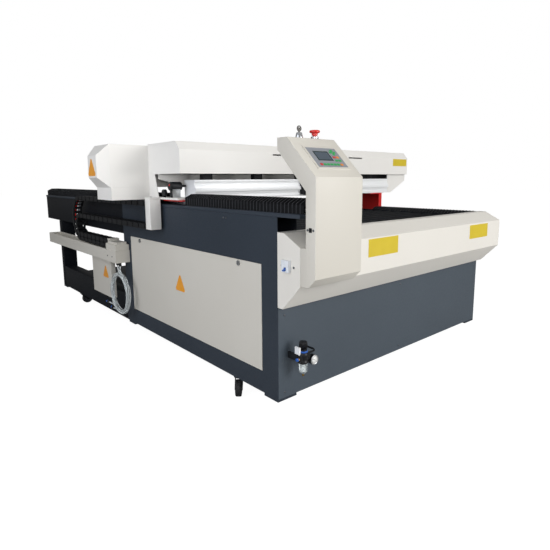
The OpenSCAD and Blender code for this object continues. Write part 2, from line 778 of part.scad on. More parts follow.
// Tube housing: a long box with a tapered end, a beam hole and three saddles
module tube_housing() color(white) placed() union() {
    difference() {
        block([-housing_left, cover_back, housing_z], [housing_x1, cover_back + housing_d, housing_top]);
        block([-housing_left + cover_t, cover_back + cover_t, housing_z + cover_t],
            [housing_x1 - cover_t, cover_back + housing_d - cover_t, housing_top - cover_t]);
        translate([0, tube_y, tube_z]) cyl_x(housing_x1 - cover_t - eps, housing_x1 + eps, beam_hole_r);
    }
    hull() {
        block([-housing_left - eps, cover_back, housing_z],
            [-housing_left, cover_back + housing_d, housing_top]);
        block([nose_x, nose_ys[0], nose_zs[0]], [nose_x + eps, nose_ys[1], nose_zs[1]]);
    }
    for (f = [0.15, 0.5, 0.85]) difference() {
        x = -housing_left + f * (housing_x1 + housing_left);
        block([x, tube_y - tube_r, housing_z], [x + saddle_w, tube_y + tube_r, tube_z - tube_r * 0.4]);
        translate([0, tube_y, tube_z]) cyl_x(x - eps, x + saddle_w + eps, tube_r + 0.2);
    }
}

tube_inset = 40;
tube_cap = 25;
cap_r = tube_r * 0.45;
module laser_tube() color("#cfe3e6") placed() translate([0, tube_y, tube_z]) union() {
    x0 = -housing_left + tube_inset;
    x1 = x0 + tube_l - 2 * tube_inset;
    cyl_x(x0, x1, tube_r);
    cyl_x(x0 - tube_cap, x0 + eps, cap_r);
    cyl_x(x1 - eps, x1 + tube_cap, cap_r);
}

motor_x = -14;
motor_l = 60;
motor_r = 21;
motor_back = 90;
motor_y = gantry_y + motor_back;
motor_rise = 57;
motor_z = plate_top + motor_rise;
shaft_r = 6;
motor_foot = [44, 28];
pulley_x = -6;
pulley_w = 14;
pulley_r = 18;
pulley_back = 175;
pulley_y = gantry_y + pulley_back;
pulley_rise = 22;
pulley_z = plate_top + pulley_rise;
stand_w = [8, 12];
// Drive on the gantry's plate: a motor with its shaft into the beam's end, and a pulley on a stand
module x_motor() color(black) placed() {
    translate([0, motor_y, 0]) union() {
        translate([0, 0, motor_z]) {
            cyl_x(motor_x, motor_x + motor_l, motor_r);
            cyl_x(motor_x + motor_l - eps, xbeam_x, shaft_r);
        }
        translate([motor_x + motor_l / 2, 0, 0])
            block([-motor_foot[0] / 2, -motor_foot[1] / 2, plate_top],
            [motor_foot[0] / 2, motor_foot[1] / 2, motor_z - motor_r * 0.6]);
    }
    translate([pulley_x + pulley_w / 2, pulley_y, 0]) union() {
        translate([0, 0, pulley_z]) cyl_x(-pulley_w / 2, pulley_w / 2, pulley_r);
        block([-stand_w[0] / 2, -stand_w[1] / 2, plate_top], [stand_w[0] / 2, stand_w[1] / 2, pulley_z]);
    }
}

// Head carriage running on the beam's rib, with a ring for the focus tube
head_y = gantry_y - 50;
tip_z = slat_top + nozzle_gap;
ring_z = tip_z + 67;
ring_h = 50;
focus_l = 137;
nozzle_l = 37;
head_plate_d = 32;
head_run = 0.4;
module head_carriage() color("#2a2c30") placed() difference() {
    union() {
        block([head_x - head_w / 2, gantry_y - head_plate_d, xbeam_z + 10],
            [head_x + head_w / 2, gantry_y - head_run, xbeam_top - 5]);
        block([head_x - 25, head_y - 20, ring_z],
            [head_x + 25, gantry_y - head_plate_d + eps, ring_z + ring_h]);
    }
    block([head_x - head_w, gantry_y - rib_d - run_gap, rib_z - run_gap],
        [head_x + head_w, gantry_y, rib_z + rib_h + run_gap]);
    translate([head_x, head_y, ring_z - eps]) cylinder(h = ring_h + 2 * eps, r = focus_r + fit);
}
module focus_tube() color("#c9a24a") placed() translate([head_x, head_y, tip_z]) union() {
    cylinder(h = nozzle_l, r1 = 4, r2 = focus_r);
    translate([0, 0, nozzle_l]) cylinder(h = focus_l - nozzle_l, r = focus_r);
    translate([0, 0, focus_l]) cylinder(h = 8, r = focus_r + 3);
}

// Cable tray with the block and bracket that hold the chains' fixed ends
tray_block_l = 149;
block_end = tray_y + tray_block_l;
run_space = 3;
inner_run_z = low_run_z + link_h + run_space;
tray_t = 2;
tray_block_h = 109;
bracket_l = 40;
box_d = 30;
box_back = 160;
box_l = 330;
box_low_z = 205;
box_y = base_l + box_back;
module cable_tray() color(white) placed() union() {
    difference() {
        block([-tray_w, tray_y, tray_z], [0, tray_y + tray_l, tray_z + tray_h]);
        block([-tray_w + tray_t, tray_y + tray_t, tray_z + tray_t],
            [-tray_t, tray_y + tray_l - tray_t, tray_z + tray_h + eps]);
    }
    block([-tray_w + tray_t, tray_y + tray_t, tray_z + tray_t],
        [-tray_t, block_end, tray_z + tray_block_h]);
    block([post_x[0], tray_y + tray_t, tray_z + tray_block_h],
        [post_x[1], block_end, low_run_z + link_h / 2]);
    block([post_x[0], block_end - bracket_l, low_run_z],
        [post_x[1], block_end, inner_run_z + link_h / 2]);
}

module electrical_box() color(white) placed()
    block([-box_d, box_y, box_low_z], [0, box_y + box_l, tray_z]);

// Chain along its run: lower run, half turn, upper run; narrow between the links
function chain_at(s, run, r) =
    let (arc = PI * r, a = 180 * (s - run) / arc)
    s < run ? [s, 0, 0] : s < run + arc ? [run + r * sin(a), r - r * cos(a), a] :
    [run - (s - run - arc), 2 * r, 180];
function chain_side(run, r, upper, side) =
    let (n = floor((run + PI * r + upper) / link_pitch), step = (run + PI * r + upper) / n)
    [for (i = [0 : n - 1]) for (e = [[0, 0.7], [0.05, 0.7], [0.06, 1], [0.94, 1], [0.95, 0.7], [1, 0.7]])
        let (p = chain_at((i + e[0]) * step, run, r), h = side * e[1] * link_h / 2)
        if (e[0] < 1 || i == n - 1) [p[0] + h * sin(p[2]), p[1] - h * cos(p[2])]];
function reversed(v) = [for (i = [len(v) - 1 : -1 : 0]) v[i]];
module chain(run, r, upper) polygon(concat(chain_side(run, r, upper, 1),
    reversed(chain_side(run, r, upper, -1))));

chain_c = chain_end - chain_r - link_h / 2;
bend_step = 12;
inner_chain_c = chain_c + bend_step;
module energy_chains() color(black) placed() along_x(post_x[1] - chain_w, post_x[1]) {
    translate([block_end, low_run_z]) chain(chain_c - block_end, chain_r, chain_c - post_ys[1]);
    translate([block_end, inner_run_z])
        chain(inner_chain_c - block_end, inner_chain_r, inner_chain_c - post_ys[1]);
}

// Two hoses hang from the tray, wound into one hank, with a coupling on each free end
hank_at = [-60, 1371, 286];
tail_ys = [1352, 1390];
gland_h = 18;
gland_r = 9;
hose_tail_routes = [
    [[-60, 1352, 452], [-60, 1352, 436], [-60, 1350, 420], [-60, 1348, 404]],
    [[-60, 1390, 452], [-60, 1390, 436], [-60, 1392, 420], [-60, 1394, 404]],
    [[-60, 1385, 170], [-61, 1420, 162], [-63, 1450, 163], [-65, 1480, 170]],
    [[-60, 1462, 215], [-61, 1490, 202], [-63, 1520, 195], [-65, 1550, 194]]];
coupling_l = 34;
coupling_r = 8;

module hose_hank() color("#e8ecee") placed() translate(hank_at) rotate([0, 90, 0])
    rotate_extrude($fn = 64) translate([hank_r, 0]) circle(r = bundle_r, $fn = 24);

// Ring of a swept hose at a route's point, square to the route's direction
hose_sides = 8;
function route_dir(route, i) = let (a = route[max(i - 1, 0)], b = route[min(i + 1, len(route) - 1)])
    (b - a) / norm(b - a);
function route_ring(route, i) =
    let (d = route_dir(route, i), u = cross(d, [1, 0, 0]) / norm(cross(d, [1, 0, 0])), v = cross(d, u))
    [for (k = [0 : hose_sides - 1])
        route[i] + hose_d / 2 * (u * cos(360 * k / hose_sides) + v * sin(360 * k / hose_sides))];
module swept_hose(route) {
    n = len(route);
    last = (n - 1) * hose_sides;
    polyhedron([for (i = [0 : n - 1]) each route_ring(route, i)],
        concat([[for (k = [0 : hose_sides - 1]) k]],
            [for (i = [0 : n - 2]) for (k = [0 : hose_sides - 1])
                let (a = i * hose_sides, j = (k + 1) % hose_sides)
                [a + k, a + hose_sides + k, a + hose_sides + j, a + j]],
            [[for (k = [hose_sides - 1 : -1 : 0]) last + k]]));
}
module hose_tails() color("#e8ecee") placed() for (route = hose_tail_routes) swept_hose(route);

module hose_fittings() color(black) placed() {
    for (y = tail_ys) translate([hank_at[0], y, tray_z - gland_h]) cylinder(h = gland_h, r = gland_r);
    for (route = [hose_tail_routes[2], hose_tail_routes[3]]) {
        end = route[len(route) - 1];
        translate(end) rotate([-90, 0, 0]) cylinder(h = coupling_l, r = coupling_r);
    }
}

// Casters: front left, front right, rear left, rear right, each with its own heading
caster_places = [[caster_x, caster_front, -132], [base_w - caster_x, caster_front, -40],
    [caster_x, caster_rear, 0], [base_w - caster_x, caster_rear, 25]];
plate_h = 4;
pin_r = 5;
crown_z = 79;
crown_h = 6;
leg_t = 2.5;
race_z = crown_z + crown_h + run_gap;
race_r = 14;
crown_r = 24;
wheel_play = 1;
axle_z = wheel_d / 2;
module at_caster(i) translate([caster_places[i][0], caster_places[i][1], 0]) children();
module caster_plates() color(steel) placed() for (i = [0 : 3]) at_caster(i) union() {
    block([-caster_plate / 2, -caster_plate / 2, base_z - plate_h],
        [caster_plate / 2, caster_plate / 2, base_z]);
    translate([0, 0, race_z]) cylinder(h = base_z - race_z, r = race_r);
    translate([0, 0, crown_z]) cylinder(h = base_z - crown_z, r = pin_r);
}
leg_v = wheel_w / 2 + wheel_play;
module caster_fork(i) color(steel) placed() at_caster(i) rotate([0, 0, caster_places[i][2]]) union() {
    difference() {
        translate([0, 0, crown_z]) cylinder(h = crown_h, r = crown_r);
        translate([0, 0, crown_z - eps]) cylinder(h = crown_h + 2 * eps, r = pin_r + fit);
    }
    for (v = [-leg_v - leg_t, leg_v]) translate([0, v + leg_t, 0]) rotate([90, 0, 0])
        linear_extrude(leg_t) polygon([[-12, crown_z + crown_h], [14, crown_z + crown_h],
            [trail + 9, axle_z + 4], [trail + 9, axle_z - 6], [trail + 3, axle_z - 11],
            [trail - 4, axle_z - 11], [trail - 10, axle_z - 4], [-12, crown_z - 12]]);
    translate([trail, 0, axle_z]) cyl_y(-leg_v - leg_t, leg_v + leg_t, axle_r);
}
tread = 4;
module caster_wheel(i) color(black) placed() at_caster(i) rotate([0, 0, caster_places[i][2]])
    translate([trail, -wheel_w / 2, axle_z]) rotate([-90, 0, 0]) rotate_extrude($fn = 64) polygon([
        [axle_r + fit, 0], [wheel_d / 2 - tread, 0], [wheel_d / 2, tread],
        [wheel_d / 2, wheel_w - tread], [wheel_d / 2 - tread, wheel_w], [axle_r + fit, wheel_w]]);

left_wall();
right_wall();
front_panel();
floor_pan();
foot_pads();
left_door();
side_beams();
rear_posts();
low_rails();
rear_shelf();
cross_members();
bed_rails();
slats();
rail_bases();
guide_rails();
front_bellows();
rear_bellows();
apron();
column();
control_panel();
display();
switch_collars();
breaker();
regulator();
filter_bowl();
pressure_gauge();
air_hose();
cable_tray();
electrical_box();
energy_chains();
hose_hank();
hose_tails();
hose_fittings();
caster_plates();
lock_front();
lock_rear();
estop_button();
switch_key();
breaker_toggle();
regulator_knob();
caster_fork(0);  // caster_fork_1
caster_fork(1);  // caster_fork_2
caster_fork(2);  // caster_fork_3
caster_fork(3);  // caster_fork_4
caster_wheel(0);  // caster_wheel_1
caster_wheel(1);  // caster_wheel_2
caster_wheel(2);  // caster_wheel_3
caster_wheel(3);  // caster_wheel_4
cross_beam();
gantry_feet();
carriage_blocks();
gantry_plates();
long_cover();
cover_bed();
tube_housing();
laser_tube();
x_motor();
chain_post();
head_carriage();
focus_tube();
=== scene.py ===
# %% [markdown]
# # A flatbed laser cutting machine
# The machine is a slate blue steel base with a slatted bed. A white gantry carries the laser tube and the
# cutting head over the bed, and travels on two guide rails under black bellows. The solids come from the
# CAD frame at their real size. This lesson gives them their finishes, and replaces the pieces whose look
# needs more than a plain solid: bellows, energy chains, hoses, casters and the small fittings.

# %% Load the frame
import json
import bmesh
import bpy
import numpy as np
from mathutils import Matrix, Vector


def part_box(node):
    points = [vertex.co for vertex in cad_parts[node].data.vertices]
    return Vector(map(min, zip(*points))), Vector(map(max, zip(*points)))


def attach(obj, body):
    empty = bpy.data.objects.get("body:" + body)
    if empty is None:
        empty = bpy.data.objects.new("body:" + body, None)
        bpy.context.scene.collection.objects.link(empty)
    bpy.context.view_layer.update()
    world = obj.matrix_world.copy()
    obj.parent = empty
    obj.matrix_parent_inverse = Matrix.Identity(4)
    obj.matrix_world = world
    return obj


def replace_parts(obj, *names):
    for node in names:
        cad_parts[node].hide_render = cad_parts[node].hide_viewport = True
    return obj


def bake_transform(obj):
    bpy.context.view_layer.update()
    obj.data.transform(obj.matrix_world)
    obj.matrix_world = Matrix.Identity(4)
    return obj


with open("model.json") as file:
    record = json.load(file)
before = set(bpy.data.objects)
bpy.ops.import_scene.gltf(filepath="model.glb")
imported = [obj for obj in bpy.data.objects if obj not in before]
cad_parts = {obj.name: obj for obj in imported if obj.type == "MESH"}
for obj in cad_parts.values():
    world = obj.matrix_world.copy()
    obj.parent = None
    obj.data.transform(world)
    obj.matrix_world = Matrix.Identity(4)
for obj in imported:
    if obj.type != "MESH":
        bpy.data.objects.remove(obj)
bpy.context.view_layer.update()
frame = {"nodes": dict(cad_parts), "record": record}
body_of = {node: body for body, nodes in frame["record"]["behaviour"]["bodies"].items() for node in nodes}

# %% [markdown]
# ## Measuring in millimetres
# Sizes on a machine are read from the base's front left corner, on the floor. One function turns such a
# reading into a point of the frame in metres, so every later cell can speak in millimetres.

# %% Points in millimetres
MM = 0.001
left_wall_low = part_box("left_wall")[0]
corner = np.array([left_wall_low.x, left_wall_low.y, 0.0])


def at(x, y, z):
    """Point in metres from a reading in millimetres: across, to the rear, up from the floor."""
    return corner + np.array([x, y, z]) * MM


def reading(point):
    """The opposite of at(): a point of the frame as a reading in millimetres."""
    return (np.array(point) - corner) / MM


print("front left corner", corner.round(4).tolist())

# %% [markdown]
# ## The camera
# The viewpoint was worked out from the straight edges of the machine: the camera stands in front of the left
# corner at about the height of the bed, looks along a line 41 degrees from the long side, and is tilted down
# a little. The frame is square, so the lens follows from the focal length in pixels.

# %% Camera
FRAME_PX = 550
SENSOR_MM = 36.0
FOCAL_PX = 457.91
PRINCIPAL_PX = (277.0, 249.0)
YAW, PITCH, ROLL = np.radians((40.938, 8.675, -0.333))
EYE = at(-1106.6, -1274.3, 956.3)


def new_object(name, data):
    """A new object in the scene that shows the data."""
    made = bpy.data.objects.new(name, data)
    bpy.context.scene.collection.objects.link(made)
    return made


forward_flat = np.array([np.sin(YAW), np.cos(YAW), 0.0])
right_flat = np.array([np.cos(YAW), -np.sin(YAW), 0.0])
up = np.array([0.0, 0.0, 1.0])
forward = forward_flat * np.cos(PITCH) - up * np.sin(PITCH)
up_tilted = forward_flat * np.sin(PITCH) + up * np.cos(PITCH)
right = right_flat * np.cos(ROLL) + up_tilted * np.sin(ROLL)
up_rolled = -right_flat * np.sin(ROLL) + up_tilted * np.cos(ROLL)
camera_data = bpy.data.cameras.new("camera")
camera_data.sensor_width = SENSOR_MM
camera_data.lens = FOCAL_PX / FRAME_PX * SENSOR_MM
camera_data.shift_x = (FRAME_PX / 2 - PRINCIPAL_PX[0]) / FRAME_PX
camera_data.shift_y = (PRINCIPAL_PX[1] - FRAME_PX / 2) / FRAME_PX
camera = new_object("camera", camera_data)
axes = np.column_stack([right, up_rolled, -forward])
camera.matrix_world = Matrix.Translation(Vector(EYE)) @ Matrix(axes.tolist()).to_4x4()
bpy.context.scene.camera = camera
print("lens", round(camera_data.lens, 2), "mm")

# %% [markdown]
# ## Surfaces from grids
# Every new piece here is a grid of points worked out with numpy: one direction along a path or round an axis,
# the other along a closed profile. Neighbouring points make the quads.

# %% Grid meshes
SAME_POINT = 1e-6
NEARLY_UP = 0.9
UP, FRONT, REAR, LEFT = (0, 0, 1), (0, -1, 0), (0, 1, 0), (-1, 0, 0)


def shaded(mesh, smooth):
    """Shade all faces of a mesh smooth, or all flat."""
    mesh.polygons.foreach_set("use_smooth", np.full(len(mesh.polygons), smooth))


def mesh_piece(name, points, faces, smooth=True):
    """Object at the origin from points in metres and faces as corner numbers."""
    mesh = bpy.data.meshes.new(name)
    points = np.asarray(points, float).reshape(-1, 3)
    mesh.from_pydata(points.tolist(), [], [list(map(int, f)) for f in faces])
    shaded(mesh, smooth)
    return new_object(name, mesh)


def outward(piece):
    """Merge doubled points and turn all faces outwards."""
    work = bmesh.new()
    work.from_mesh(piece.data)
    bmesh.ops.remove_doubles(work, verts=work.verts, dist=SAME_POINT)
    bmesh.ops.recalc_face_normals(work, faces=work.faces)
    work.to_mesh(piece.data)
    work.free()
    return piece


def tube_grid(name, grid, smooth=True):
    """A closed profile (columns) carried along a path (rows), with its ends closed by one face each."""
    rows, columns = grid.shape[:2]
    r, c = np.meshgrid(np.arange(rows - 1), np.arange(columns), indexing="ij")
    here, there, c2 = r * columns, (r + 1) * columns, (c + 1) % columns
    faces = np.stack([here + c, there + c, there + c2, here + c2], -1).reshape(-1, 4).tolist()
    faces += [list(range(columns))[::-1], list(range((rows - 1) * columns, rows * columns))]
    return outward(mesh_piece(name, grid, faces, smooth))


def turned(name, profile, origin, axis, segments=48):
    """A profile of (radius, height) pairs in millimetres turned round an axis through origin."""
    profile = np.array(profile, float) * MM
    axis = np.array(axis, float) / np.linalg.norm(axis)
    side = np.cross(axis, UP if abs(axis[2]) < NEARLY_UP else [1.0, 0.0, 0.0])
    side /= np.linalg.norm(side)
    other = np.cross(axis, side)
    turn = np.linspace(0, 2 * np.pi, segments, endpoint=False)
    ring = np.cos(turn)[:, None] * side + np.sin(turn)[:, None] * other
    grid = origin + profile[:, None, :1] * ring[None] + profile[:, None, 1:] * axis
    return tube_grid(name, grid)


print("grid helpers ready")

# %% [markdown]
# Small flat things are boxes with rounded edges. The last helper hands a finished piece over to the frame.

# %% Boxes and the hand-over
EDGE_ANGLE = 0.6
BOX_FACES = np.array([[3, 2, 1, 0], [4, 5, 6, 7], [0, 1, 5, 4], [1, 2, 6, 5], [2, 3, 7, 6], [3, 0, 4, 7]])


def box_points(low, high):
    """Eight corners of a box, in the order that BOX_FACES needs."""
    low, high = np.array(low, float), np.array(high, float)
    pick = np.array([[0, 0, 0], [1, 0, 0], [1, 1, 0], [0, 1, 0], [0, 0, 1], [1, 0, 1], [1, 1, 1], [0, 1, 1]])
    return np.where(pick == 1, high, low)


def box_faces(count):
    """Faces of a number of boxes whose corners follow each other."""
    return (BOX_FACES[None] + 8 * np.arange(count)[:, None, None]).reshape(-1, 4)


def bevelled(piece, width_mm, segments=2):
    """Round a piece's edges with a live Bevel modifier and even normals."""
    step = piece.modifiers.new("rounded_edges", "BEVEL")
    step.width = width_mm * MM
    step.segments = segments
    step.limit_method = "ANGLE"
    step.angle_limit = EDGE_ANGLE
    step.harden_normals = True
    return piece


def boxes(name, lows, highs, bevel_mm=0.0):
    """One piece of many separate boxes, given in metres."""
    points = np.array([box_points(a, b) for a, b in zip(lows, highs)])
    piece = mesh_piece(name, points, box_faces(len(points)), smooth=bevel_mm > 0)
    return bevelled(piece, bevel_mm) if bevel_mm else piece


def placed_piece(piece, body, slot, material, *stands_for):
    """Give a piece its finish, the body that carries it and the nodes that it stands for. The slot is not
    used.
    """
    piece.data.materials.append(material)
    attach(piece, body)
    if stands_for:
        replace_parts(piece, *stands_for)
    return piece


print("box helpers ready")

# %% [markdown]
# ## Colours and finishes
# Paint colours are written as sRGB hex, as a paint card gives them, and one function turns them into the
# linear values that the shader needs. Another adds a node with its settings and links. With these two, each
# finish is a short recipe that starts from what the real surface is.

# %% Colour and node helpers
def linear(code):
    """Linear RGBA of an sRGB hex colour: c / 12.92 up to 0.04045, and ((c + 0.055) / 1.055)^2.4 above it."""
    srgb = np.array([int(code[i:i + 2], 16) for i in (1, 3, 5)]) / 255
    rgb = np.where(srgb <= 0.04045, srgb / 12.92, ((srgb + 0.055) / 1.055) ** 2.4)
    return (*rgb.tolist(), 1.0)


def add(tree, kind, inputs=None, **settings):
    """Add one node: settings are its attributes, inputs are values or other nodes' sockets by input name."""
    node = tree.nodes.new(kind)
    for key, value in settings.items():
        setattr(node, key, value)
    for key, value in (inputs or {}).items():
        if isinstance(value, bpy.types.NodeSocket):
            tree.links.new(value, node.inputs[key])
        else:
            node.inputs[key].default_value = value
    return node


SHADER_INPUTS = {"metallic": "Metallic", "specular": "Specular IOR Level", "ior": "IOR",
                 "transmission": "Transmission Weight"}
MIX_LOW, MIX_HIGH, MIX_RESULT = 6, 7, 2
NOISE_LOW, NOISE_HIGH = 0.3, 0.7
GRAIN_HEIGHT = 0.3


def finish(name, low, high, grain_mm, roughness, cloud_mm=400.0, bump=0.1, stretch=(1, 1, 1), **shader):
    """A finish with a fine grain in the bump, a slow change of shade between two colours and of roughness.

    grain_mm is the size of the surface's grain, cloud_mm that of the shade's clouds, stretch draws the grain
    out along an axis, and shader holds the values that are the same all over the surface.
    """
    material = bpy.data.materials.new(name)
    material.use_nodes = True
    tree = material.node_tree
    principled = tree.nodes["Principled BSDF"]
    place = add(tree, "ShaderNodeTexCoord").outputs["Object"]
    grain_place = add(tree, "ShaderNodeMapping", {"Vector": place, "Scale": stretch}).outputs["Vector"]
    grain = add(tree, "ShaderNodeTexNoise", {"Vector": grain_place, "Scale": 1000 / grain_mm, "Detail": 2.0})
    cloud = add(tree, "ShaderNodeTexNoise", {"Vector": place, "Scale": 1000 / cloud_mm, "Detail": 3.0})
    colours = {"Factor": cloud.outputs["Fac"], MIX_LOW: linear(low), MIX_HIGH: linear(high)}
    shade = add(tree, "ShaderNodeMix", colours, data_type="RGBA")
    tree.links.new(shade.outputs[MIX_RESULT], principled.inputs["Base Color"])
    spread = add(tree, "ShaderNodeMapRange", {"Value": grain.outputs["Fac"],
                                              "From Min": NOISE_LOW, "From Max": NOISE_HIGH,
                                              "To Min": roughness[0], "To Max": roughness[1]})
    tree.links.new(spread.outputs["Result"], principled.inputs["Roughness"])
    height = add(tree, "ShaderNodeBump", {"Height": grain.outputs["Fac"], "Strength": bump,
                                          "Distance": grain_mm * MM * GRAIN_HEIGHT})
    tree.links.new(height.outputs["Normal"], principled.inputs["Normal"])
    for key, value in shader.items():
        principled.inputs[SHADER_INPUTS[key]].default_value = value
    return material


# %% [markdown]
# The base is powder coated steel: a satin slate blue with the slight orange peel of baked powder. Real orange
# peel is about 2 mm from bump to bump. It is drawn at 6 mm here, as coarse as it needs to be to show.

# %% Paints and metals
slate_coat = finish("slate_powder_coat", "#3e4750", "#47515a", 6, (0.40, 0.52))
# The left wall, the rail bases and the foot pads take a darker copy of the same slate paint: painted shade,
# for the sides that get less light than the front.
slate_coat_painted_shade = finish("slate_powder_coat_painted_shade", "#283039", "#313943", 6, (0.42, 0.54), specular=0.3)
cream_coat = finish("cream_powder_coat", "#cfcabf", "#d6d2c8", 6, (0.36, 0.48), bump=0.08)
ivory_coat = finish("ivory_powder_coat", "#e2ded5", "#e8e4dc", 6, (0.36, 0.48), bump=0.08)
white_coat = finish("white_powder_coat", "#ebe8e2", "#f1efea", 6, (0.30, 0.42), bump=0.06)
red_coat = finish("red_enamel", "#c01a1c", "#d22624", 5, (0.28, 0.38), bump=0.06)
black_coat = finish("black_powder_coat", "#141518", "#1c1e21", 5, (0.42, 0.55), specular=0.3)
brushed_steel = finish("brushed_steel", "#b4b7bb", "#c6c8cc", 4, (0.22, 0.38), stretch=(0.08, 1, 1),
                       metallic=1.0)
zinc_plate = finish("zinc_plated_steel", "#a9acb0", "#c3c4c2", 8, (0.25, 0.42), cloud_mm=25, metallic=1.0)
anodised = finish("anodised_aluminium", "#f0f1f2", "#f6f7f7", 3, (0.38, 0.50), bump=0.08,
                  stretch=(0.05, 1, 1), metallic=0.1)
# The beams, posts and rails of the frame are drawn near black, far darker than the slate of the walls.
near_black_slate = finish("near_black_slate_tone", "#14161a", "#1b1e23", 6, (0.45, 0.58), specular=0.1)
dark_steel = finish("oiled_dark_steel", "#1a1b1e", "#242629", 4, (0.40, 0.55), stretch=(0.08, 1, 1),
                    metallic=0.5)
screw_steel = finish("blackened_screw_steel", "#55585c", "#6a6d71", 2, (0.30, 0.42), cloud_mm=10,
                     metallic=0.9)
# The key's chrome is drawn dark: a painted dark reflection, of the dark surroundings that chrome mirrors.
chrome_painted_dark = finish("chrome_with_painted_dark_reflections", "#615f5c", "#7b7875", 2, (0.15, 0.28), cloud_mm=12, metallic=1.0)
bright_chrome = finish("bright_chrome", "#b4b6b9", "#c9cacc", 2, (0.10, 0.18), cloud_mm=12, metallic=0.7)
brass = finish("turned_brass", "#b98f3c", "#cda858", 3, (0.22, 0.34), cloud_mm=30, metallic=1.0)

# %% [markdown]
# Plastics and rubber: the chains are moulded glass-filled nylon with a dull skin, the bellows are a coated
# fabric, and the wheels are moulded rubber. The hoses are clear polyurethane tube, which looks milky.

# %% Plastics, rubber and glass
chain_nylon = finish("moulded_black_nylon", "#101113", "#191a1c", 3, (0.45, 0.60), cloud_mm=60, specular=0.3)
bellows_cloth = finish("coated_bellows_fabric", "#0d0e10", "#141518", 2.5, (0.50, 0.65), cloud_mm=80,
                       bump=0.25, specular=0.12)
# The paler colour of the fold ridges is a painted highlight, for the light that each narrow ridge catches.
ridge_highlight = finish("painted_ridge_highlight", "#303236", "#3e4044", 2.5, (0.40, 0.55), cloud_mm=60)
black_rubber = finish("moulded_rubber", "#151517", "#202022", 2, (0.55, 0.75), cloud_mm=40, bump=0.2)
black_plastic = finish("black_abs", "#0e0f11", "#15161a", 2, (0.30, 0.45), cloud_mm=60, specular=0.3)
grey_plastic = finish("grey_membrane_film", "#85888e", "#91949a", 2, (0.35, 0.48), cloud_mm=50)
pale_plastic = finish("pale_polycarbonate", "#dfe3e8", "#e9edf1", 2, (0.25, 0.38), cloud_mm=40)
blue_plastic = finish("blue_nylon", "#1f4f9f", "#2a62b8", 2, (0.25, 0.38), cloud_mm=40)
red_plastic = finish("red_moulded_plastic", "#c8160f", "#dc2a1e", 2, (0.18, 0.28), cloud_mm=40)
green_key = finish("green_key_film", "#1f9a48", "#2cac57", 2, (0.30, 0.42), cloud_mm=20)
red_key = finish("red_key_film", "#c02a24", "#d0382f", 2, (0.30, 0.42), cloud_mm=20)
orange_key = finish("orange_key_film", "#dd7f24", "#ea9034", 2, (0.30, 0.42), cloud_mm=20)
yellow_film = finish("yellow_film", "#cfb628", "#d9c134", 2, (0.30, 0.42), cloud_mm=60)
amber_film = finish("amber_film", "#e5941b", "#f0a52c", 2, (0.30, 0.42), cloud_mm=40)
screen_film = finish("dark_screen_film", "#20302f", "#2a3d3b", 2, (0.10, 0.18), cloud_mm=40, bump=0.02)
pane_film = finish("screen_pane", "#46505a", "#525d68", 2, (0.12, 0.20), cloud_mm=40, bump=0.02)
hub_plastic = finish("dark_grey_nylon", "#2c2e32", "#383a3f", 2, (0.35, 0.48), cloud_mm=30)
white_nylon = finish("white_nylon", "#e9e9e6", "#f1f1ee", 2, (0.35, 0.48), cloud_mm=30)
clear_hose = finish("clear_polyurethane", "#dfe4e5", "#ecf0f0", 3, (0.10, 0.18), cloud_mm=30, bump=0.03,
                    transmission=0.6, ior=1.49)
clear_bowl = finish("clear_polycarbonate", "#dfe8ea", "#e8f0f2", 3, (0.05, 0.10), cloud_mm=30, bump=0.02,
                    transmission=0.85, ior=1.58)
glass_tube = finish("borosilicate_glass", "#e4f0f0", "#edf6f6", 5, (0.03, 0.07), cloud_mm=200, bump=0.01,
                    transmission=0.9, ior=1.47)
print("finishes:", len(bpy.data.materials))

# %% [markdown]
# ## Light and floor
# A large soft key light stands in front, a weak one on the left opens the side, one above rounds off the
# covers, and a small one by the camera reaches into the recesses. Each row gives a lamp's place, what it
# faces, its side, its power in watts and its colour.

# %% Lamps
MIDDLE = (0.0, 0.0, 0.6)
WHITE = "#ffffff"
lamps = {"key_light": ((1.2, -6.0, 2.0), MIDDLE, 3.0, 200.0, WHITE),
         "left_light": ((-3.4, -1.2, 1.6), (-0.7, -0.5, 0.7), 2.4, 51.0, "#f2f6ff"),
         "top_light": ((0.0, -0.5, 5.5), MIDDLE, 4.0, 30.0, WHITE),
         "camera_light": ((-2.1, -3.1, 1.25), (-0.6, -0.7, 0.9), 0.5, 9.0, WHITE)}
for name, (place, target, size, power, colour) in lamps.items():
    data = bpy.data.lights.new(name, "AREA")
    data.size = size
    data.energy = power
    data.color = linear(colour)[:3]
    facing = (Vector(target) - Vector(place)).to_track_quat("-Z", "Y")
    new_object(name, data).matrix_world = Matrix.Translation(place) @ facing.to_matrix().to_4x4()
print("lamps:", len(lamps))

# %% [markdown]
# The floor and the surroundings look white to the camera without adding light to the machine: Light Path
# picks those rays. The floor still takes half of its tone from the light on it, so it keeps the shadow.

# %% Surroundings and floor
def seen_directly(tree):
    """Socket that is 1 for rays from the camera and through glass, and 0 for rays that carry light."""
    path = add(tree, "ShaderNodeLightPath")
    rays = {0: path.outputs["Is Camera Ray"], 1: path.outputs["Is Transmission Ray"]}
    both = add(tree, "ShaderNodeMath", rays, operation="MAXIMUM")
    return both.outputs[0]


world = bpy.data.worlds.new("studio")
bpy.context.scene.world = world
world.use_nodes = True
sky = world.node_tree
sky.nodes["Background"].inputs["Color"].default_value = linear(WHITE)
WORLD_FILL = 0.25
level = add(sky, "ShaderNodeMapRange", {"Value": seen_directly(sky), "To Min": WORLD_FILL, "To Max": 1.0})
sky.links.new(level.outputs["Result"], sky.nodes["Background"].inputs["Strength"])

